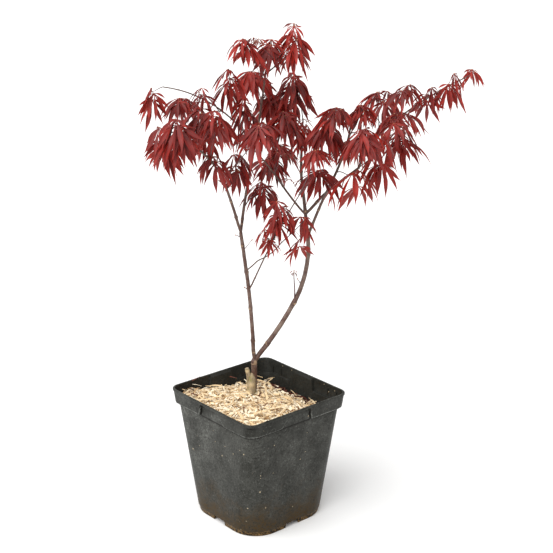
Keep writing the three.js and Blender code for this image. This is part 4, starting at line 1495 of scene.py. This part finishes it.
def mass_shape(node):
    """A CAD mass: its faces as a tree, the spots for its leaves to reach, and its top, middle and sizes."""
    mesh = frame["nodes"][node].data
    corners = [v.co for v in mesh.vertices]
    tree = BVHTree.FromPolygons(corners, [list(face.vertices) for face in mesh.polygons])
    spots = np.unique(np.round(np.array(corners), 5), axis=0)
    top = spots[np.argmax(spots[:, 2])]
    drop = top[2] - spots[:, 2].min()
    rim = spots[spots[:, 2] < top[2] - 0.3 * drop]
    middle = np.array([*rim[:, :2].mean(0), top[2]])
    half = np.linalg.norm(rim[:, :2] - middle[:2], axis=1).mean()
    faces = np.array([face.center for face in mesh.polygons])
    return Mass(tree, np.vstack([spots, faces]), top, middle, drop, half)


def spring_point(target, lines):
    """Where on the limbs a twig to the target springs, near and at a slant, and the limb's heading there."""
    best = None
    for line in lines.values():
        heading = np.gradient(line.points, axis=0)
        for spot, direction in zip(line.points[2:], heading[2:]):
            away = target - spot
            distance = np.linalg.norm(away) + 1e-9
            cost = distance * (1.75 - unit(direction).dot(away) / distance)
            if best is None or cost < best[0]:
                best = (cost, spot, unit(direction))
    return best[1], best[2]


def choose_habit(mass, young, rng):
    """Slim masses are hung with closed leaves and wide ones with spreading leaves."""
    if young:
        return "young"
    slim = mass.drop / (2 * mass.half)
    return rng.choice(next(habits for least, habits in BY_SLIMNESS if slim > least))


def outside(tree, spots):
    """How far each spot lies outside a closed form, nought for those inside."""
    far = []
    for spot in spots:
        near, normal, _, distance = tree.find_nearest(Vector(spot))
        far.append(distance if (Vector(spot) - near).dot(normal) > 0 else 0.0)
    return np.array(far)


def try_leaf(index, mass, path, outward, forms, settings, young, rng):
    """One way to hang a mass's next leaf: the leaf, its spot on the twig, and its midribs' points."""
    drop, half = mass.drop, mass.half
    pair, other = divmod(index, 2)
    turn = outward + pair * math.pi / 2 + other * math.pi + rng.uniform(-0.75, 0.75)
    habit = choose_habit(mass, young and index < 2, rng)
    number, ribs = rng.choice(forms[habit])
    fullest = min(BY_DROP * drop + BY_WIDTH * half, SLIM_LEAF + SLIM_RISE * half)
    fullest = min(max(fullest, settings.shortest), settings.longest)
    if habit == "young":
        grown = settings.young * rng.uniform(*YOUNG_SPREAD)
    else:
        grown = fullest * rng.uniform(*SIZE_SPREAD)
    direction = level(turn)
    out = rng.uniform(0.05, 0.85) * half
    deep = 0 if index == 0 else rng.uniform(0, 1) * max(drop - HANG * grown, 0.15 * drop)
    place = np.array([*(mass.middle[:2] + direction[:2] * out), mass.top[2] - 1.5 * MM - deep])
    node_at = path[np.argmin(np.linalg.norm(path - place, axis=1) + np.arange(len(path), 0, -1) * MM)]
    spun = turn + rng.uniform(-0.25, 0.25)
    cos, sin = math.cos(spun), math.sin(spun)
    spin = np.array([[cos, -sin, 0], [sin, cos, 0], [0, 0, 1]])
    return Leaf(place, spun, grown, number), node_at, ribs @ spin.T * grown + place


def grow_spray(node, lines, forms, settings, heart, rng):
    """The seeded rule for one mass: a twig from the nearest limb, and leaves in turned pairs that fill it."""
    mass = mass_shape(node)
    tree, wanted, top, middle, half = mass.tree, mass.spots, mass.top, mass.middle, mass.half
    head = top - UP * HEAD_DEPTH
    start, heading = spring_point(head - UP * 8 * MM, lines)
    span = np.linalg.norm(head - start)
    leave = unit(heading + unit(head - start) * 1.3)
    arrive = unit(unit(head - start) + UP * 0.25)
    path = bow(start, head, leave, arrive, 12)
    foot = settings.twig_radius * min(1, 0.55 + span / (110 * MM))
    twigs = [Line(path, np.linspace(foot, 0.5 * foot + 0.1 * MM, len(path)))]
    outward = math.atan2(middle[1] - heart[1], middle[0] - heart[0]) + rng.uniform(-0.7, 0.7)
    young = top[2] > YOUNG_ABOVE * CAD_BOX[1][2]
    missed = np.ones(len(wanted), bool)
    leaves, petioles = [], []
    most = by_mass(OPEN_SPRAYS).get(node, min(max(round(half / LEAF_ROOM), 2), settings.most))
    while len(leaves) < most and (len(leaves) < 2 or missed.mean() > LEFT_BARE):
        best = None
        for _ in range(TRIES):
            leaf, spring, ribs = try_leaf(len(leaves), mass, path, outward, forms, settings, young, rng)
            points = ribs.reshape(-1, 3)
            near = np.linalg.norm(wanted[missed][:, None] - points[None], axis=2).min(1) < LOBE_REACH
            astray = outside(tree, ribs[:, 2::3].reshape(-1, 3))
            stretch = max(np.linalg.norm(leaf.place - spring) - settings.petiole, 0)
            lost = np.minimum(astray, MOST_ASTRAY).mean() / STRAY
            score = near.sum() / len(wanted) - lost - stretch / STRAY
            if best is None or score > best[0]:
                best = (score, leaf, spring, points)
        _, leaf, spring, points = best
        missed &= np.linalg.norm(wanted[:, None] - points[None], axis=2).min(1) >= LOBE_REACH
        direction = level(leaf.turn)
        lift = unit(direction * 0.7 + UP)
        stalk = bow(spring, leaf.place, lift, unit(direction - UP * 0.35), 6)
        petioles.append(Line(stalk, np.full(len(stalk), settings.petiole_radius)))
        leaves.append(leaf)
    return Spray(node, None, twigs, petioles, leaves, [(path[-1], unit(arrive))])


def deal_tone(node, rng):
    """A spray's tone: the known one, or else one drawn by its share."""
    drawn = rng.choices(TONES, TONE_SHARES)[0]
    return by_mass(KNOWN_TONES).get(node, drawn)


def grow_shoot(row, lines, forms, settings, rng):
    """A thin side shoot or a cut stub from a limb, some with a pair of young leaves at the end."""
    limb, at, azimuth, rise, long, thick, leafy, leaf_long = row
    line = lines[limb]
    start = line.points[int(at * (len(line.points) - 1))]
    azimuth, rise = math.radians(azimuth), math.radians(rise)
    heading = level(azimuth) * math.cos(rise) + UP * math.sin(rise)
    end = start + heading * long * MM
    leave = unit(heading + level(azimuth) * 0.35)
    path = bow(start, end, leave, heading, 10)
    twig = Line(path, np.linspace(thick, 0.55 * thick, len(path)) * MM)
    petioles, leaves = [], []
    for index in range(leafy):
        direction = level(azimuth + math.pi / 2 + index * math.pi)
        place = end + (direction * 0.3 + UP * 0.2) * leaf_long * MM
        petioles.append(Line(bow(end, place, UP, direction, 4), np.full(5, settings.petiole_radius)))
        number, _ = rng.choice(forms["young"])
        size = leaf_long * MM * rng.uniform(0.8, 1.3)
        leaves.append(Leaf(place, azimuth + math.pi / 2 + index * math.pi, size, number))
    buds = [(end, heading)]
    if long > 60:
        middle = path[len(path) // 2]
        buds += [(middle, unit(heading + level(azimuth + side))) for side in (math.pi / 2, -math.pi / 2)]
    return Spray(limb, "bronze" if leafy else None, [twig], petioles, leaves, buds)


def grow_tree(settings, forms):
    """All sprays and side shoots, each from a seed of its own."""
    lines = {name: smooth_line(line, 4 * MM)[0] for name, line in limb_lines().items()}
    heart = np.mean([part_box(node)[0] + (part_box(node)[1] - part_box(node)[0]) / 2 for node in MASSES], axis=0)
    sprays = []
    for index, node in enumerate(MASSES):
        rng = random.Random(settings.seed * 1000 + index)
        spray = grow_spray(node, lines, forms, settings, heart, rng)
        sprays.append(spray._replace(tone=deal_tone(node, random.Random(settings.seed * 3000 + index))))
    for index, row in enumerate(SHOOTS):
        rng = random.Random(settings.seed * 2000 + index)
        sprays.append(grow_shoot(row, lines, forms, settings, rng))
    return sprays


def stem_host(name, stems):
    """Edges along stems, with a radius at each point."""
    points, edges, radii = [], [], []
    for stem in stems:
        base = len(points)
        points += [tuple(p) for p in stem.points]
        edges += [(base + i, base + i + 1) for i in range(len(stem.points) - 1)]
        radii += list(stem.radii)
    mesh = bpy.data.meshes.new(name)
    mesh.from_pydata(points, edges, [])
    put_attribute(mesh, "radius", "FLOAT", "POINT", radii)
    return mesh


def point_host(name, places, turns, sizes, numbers):
    """Loose points that carry a turn, a size and a form number."""
    mesh = bpy.data.meshes.new(name)
    mesh.from_pydata([tuple(p) for p in places], [], [])
    put_attribute(mesh, "turn", "FLOAT_VECTOR", "POINT", turns)
    put_attribute(mesh, "size", "FLOAT", "POINT", sizes)
    put_attribute(mesh, "form", "INT", "POINT", numbers)
    return mesh


def leaf_blade(name, tone, settings):
    """A thin, satin maple blade: fine slanting veins off a paler midrib, mottled."""
    def build(add, place):
        lobe = add("UVMap", uv_map="lobe")
        along = add("SeparateXYZ", (lobe,))
        across = add("Math SUBTRACT", (along.node.outputs["Y"], 0.5))
        aside = add("Math ABSOLUTE", (across,))
        midrib = add("MapRange", (aside, 0.02, 0.1, 0.75, 0))
        slant = add("Math MULTIPLY", (aside, -9))
        rank = add("Math MULTIPLY_ADD", (along, 15, slant))
        saw = add("Math PINGPONG", (rank, 1))
        side_vein = add("MapRange", (saw, 0.02, 0.22, 0.3, 0))
        veins = add("Math MAXIMUM", (midrib, side_vein))
        base_share = add("MapRange", (along, 0, 0.75, 0.75, 0.3))
        shown = add("Math MULTIPLY", (veins, base_share))
        cloud = add("TexNoise", (place, per(11), 3))
        mottle = add("MapRange", (cloud, 0.3, 0.7, 0.74, 1.22))
        # Painted glow: the thin margins and the tips turn a brighter red, partly the blade's own colour and
        # partly light shining through it.
        thin = add("MapRange", (aside, 0.26, 0.5, 0, 0.55))
        tip = add("MapRange", (along, 0.4, 1, 0, 0.5))
        red_margin_and_glow = add("Math MAXIMUM", (thin, tip))
        margin_glow_mixed = add("Mix RGBA", (red_margin_and_glow, tone, settings.rim))
        flush = add("TexNoise", (place, per(34), 1))
        flushed = add("MapRange", (flush, 0.48, 0.62, 0, 0.55))
        redder = add("Mix RGBA", (flushed, margin_glow_mixed, settings.rim))
        tinted = add("HueSaturation", {"Color": redder, "Value": mottle})
        final = add("Mix RGBA", (shown, tinted, settings.vein))
        height = add("Math MULTIPLY", (veins, -1))
        bump = add("Bump", {"Height": height, "Strength": 0.35, "Distance": 0.3 * MM})
        return {"Base Color": final, "Roughness": 0.5, "Normal": bump, "Specular IOR Level": 0.32}
    return surface(name, build)


def soft_stem(name, tone, pale):
    """The skin of soft stalks and twigs: satin, slightly mottled."""
    def build(add, place):
        cloud = add("TexNoise", (place, per(5), 3))
        base = add("Mix RGBA", (cloud, tone, pale))
        bump = add("Bump", {"Height": cloud, "Strength": 0.2, "Distance": 0.2 * MM})
        return {"Base Color": base, "Roughness": 0.48, "Normal": bump}
    return surface(name, build)


def look_at(direction):
    """The Euler turn that lays +Z along a direction."""
    return tuple(Vector(direction).to_track_quat("Z", "Y").to_euler())


class MAPLE_OT_twigs(bpy.types.Operator):
    """Grows the twigs and the leaf stalks on from the boughs, with their buds"""
    bl_idname = "maple.twigs"
    bl_label = "Grow the twigs"

    def execute(self, context):
        settings = context.scene.maple_leaf
        _, forms = leaf_forms(settings)
        sprays = grow_tree(settings, forms)
        tree = tube_tree()
        kinds = (
            ("twigs", "twigs", 7, soft_stem("twig_bark", settings.twig, paint("#6d4a48"))),
            ("leaf_stalks", "petioles", 6, soft_stem("leaf_stalk", settings.stalk, paint("#94484a"))),
        )
        for name, field, sides, material in kinds:
            stems = [stem for spray in sprays for stem in getattr(spray, field)]
            piece = run_tree(tree, name, stem_host(name, stems), {"Sides": sides, "Bark": material})
            settle(piece, "limb")
        buds = [bud for spray in sprays for bud in spray.buds]
        rows = [(place, look_at(heading), 1.0, 0) for place, heading in buds]
        host = point_host("buds", *zip(*rows))
        group = in_collection("bud_forms", [ball_form("bud", 4.2 * MM, 1.15 * MM)])
        scales = soft_stem("bud_scales", paint("#8a4a38"), paint("#b4805a"))
        piece = run_tree(spray_tree(), "buds", host, {"Forms": group, "Upper": scales, "Under": scales})
        drop_collection(group)
        settle(piece, "limb")
        return {"FINISHED"}


class MAPLE_OT_leaves(bpy.types.Operator):
    """Hangs the leaves in sprays, each spray in one tone, with the pale joint where each stalk ends"""
    bl_idname = "maple.leaves"
    bl_label = "Hang the leaves"

    def execute(self, context):
        settings = context.scene.maple_leaf
        meshes, forms = leaf_forms(settings)
        sprays = grow_tree(settings, forms)
        tree = spray_tree()
        group = in_collection("leaf_forms", meshes)
        under = leaf_blade("leaf_underside", settings.under, settings)
        for tone in TONES:
            chosen = [spray for spray in sprays if spray.tone == tone]
            leaves = [leaf for spray in chosen for leaf in spray.leaves]
            if not leaves:
                continue
            rows = [(leaf.place, (0, 0, leaf.turn), leaf.size, leaf.form) for leaf in leaves]
            host = point_host(tone, *zip(*rows))
            upper = leaf_blade(f"leaf_{tone}", getattr(settings, tone), settings)
            piece = run_tree(tree, f"leaves_{tone}", host, {"Forms": group, "Upper": upper, "Under": under})
            settle(piece, "foliage", *[spray.node for spray in chosen if spray.node in MASSES])
        drop_collection(group)
        leaves = [leaf for spray in sprays for leaf in spray.leaves]
        rows = [(leaf.place - UP * 0.9 * MM, (0, 0, 0), 1.0, 0) for leaf in leaves]
        host = point_host("joints", *zip(*rows))
        group = in_collection("joint_forms", [ball_form("joint", 2.2 * MM, 1.15 * MM)])
        pale = soft_stem("leaf_joint", settings.joint, paint("#c98e62"))
        piece = run_tree(tree, "leaf_joints", host, {"Forms": group, "Upper": pale, "Under": pale})
        drop_collection(group)
        settle(piece, "foliage")
        return {"FINISHED"}


# ---- Stage ----
class StageSettings(bpy.types.PropertyGroup):
    """Where the camera stands, and the floor and the lights."""
    eye: bpy.props.FloatVectorProperty(
        name="Camera place", description="Where the camera stands", default=(-1.293, -1.5585, 1.11),
        subtype="TRANSLATION", unit="LENGTH",
    )
    pitch: angle("Pitch", "How far the camera looks down", 18.35)
    heading: angle("Heading", "The camera's turn about Z", -40.58)
    lens: number("Lens", "Focal length in millimetres", 81.6)
    floor: colour("Floor", "Pale studio floor", "#f7f7f6")
    sky: colour("Soft light", "Light from all round", "#ffffff")
    sky_strength: number("Soft light strength", "Strength of the light from all round", 0.7)
    key_strength: number("Key strength", "Strength of the high soft light", 3.0)
    key_spread: angle("Key spread", "Apparent width of the high soft light", 70)


FLOOR_HALF = 20.0                # half the floor's width, in metres
KEY_FROM = (-0.8, -0.1, 1.0)     # where the high soft light comes from


def studio_floor(stage):
    """Matt painted board: an even, pale ground."""
    def build(add, place):
        cloud = add("TexNoise", (place, 2))
        shade = add("MapRange", (cloud, 0, 1, 0.99, 1.01))
        base = add("HueSaturation", {"Color": stage.floor, "Value": shade})
        return {"Base Color": base, "Roughness": 0.9}
    return surface("matt_studio_floor", build)


class MAPLE_OT_stage(bpy.types.Operator):
    """Sets up the pale floor, the soft light and the camera"""
    bl_idname = "maple.stage"
    bl_label = "Set the stage"

    def execute(self, context):
        stage = context.scene.maple_stage
        floor = bpy.data.meshes.new("studio_floor")
        corners = [(x * FLOOR_HALF, y * FLOOR_HALF, 0) for x, y in ((-1, -1), (1, -1), (1, 1), (-1, 1))]
        floor.from_pydata(corners, [], [(0, 1, 2, 3)])
        floor.materials.append(studio_floor(stage))
        put_object("studio_floor", floor)
        world = bpy.data.worlds.new("soft_room")
        world.use_nodes = True
        light = world.node_tree.nodes["Background"].inputs
        light["Color"].default_value, light["Strength"].default_value = stage.sky, stage.sky_strength
        context.scene.world = world
        key = bpy.data.lights.new("high_soft_light", "SUN")
        key.energy, key.angle = stage.key_strength, stage.key_spread
        item = bpy.data.objects.new("high_soft_light", key)
        item.rotation_euler = look_at(KEY_FROM)
        context.scene.collection.objects.link(item)
        lens = bpy.data.cameras.new("studio_camera")
        lens.lens = stage.lens
        lens.clip_start = 0.05
        camera = bpy.data.objects.new("studio_camera", lens)
        camera.location = stage.eye
        camera.rotation_euler = (math.pi / 2 - stage.pitch, 0, stage.heading)
        context.scene.collection.objects.link(camera)
        context.scene.camera = camera
        context.scene.view_settings.view_transform = "Standard"
        return {"FINISHED"}


# ---- Panel, registration and run ----
STEPS = (MAPLE_OT_pot, MAPLE_OT_compost, MAPLE_OT_mulch, MAPLE_OT_trunk, MAPLE_OT_limbs, MAPLE_OT_twigs,
         MAPLE_OT_leaves, MAPLE_OT_stage)
SETTINGS = {"maple_pot": PotSettings, "maple_mulch": MulchSettings, "maple_bark": BarkSettings,
            "maple_leaf": LeafSettings, "maple_stage": StageSettings}


class MAPLE_PT_panel(bpy.types.Panel):
    """Lists the steps that make the potted maple"""
    bl_idname = "MAPLE_PT_panel"
    bl_label = "Potted Red Maple"
    bl_space_type = "VIEW_3D"
    bl_region_type = "UI"
    bl_category = "Maple"

    def draw(self, context):
        column = self.layout.column()
        for step in STEPS:
            column.operator(step.bl_idname)
        for name, kind in SETTINGS.items():
            box = self.layout.box()
            for field in kind.__annotations__:
                box.prop(getattr(context.scene, name), field)


def register():
    for kind in (*SETTINGS.values(), *STEPS, MAPLE_PT_panel):
        bpy.utils.register_class(kind)
    for name, kind in SETTINGS.items():
        setattr(bpy.types.Scene, name, bpy.props.PointerProperty(type=kind))


def unregister():
    for name in SETTINGS:
        delattr(bpy.types.Scene, name)
    for kind in reversed((*SETTINGS.values(), *STEPS, MAPLE_PT_panel)):
        bpy.utils.unregister_class(kind)


def main():
    """Makes every piece in order."""
    register()
    for step in STEPS:
        group, name = step.bl_idname.split(".")
        getattr(getattr(bpy.ops, group), name)()


if __name__ == "__main__":
    main()
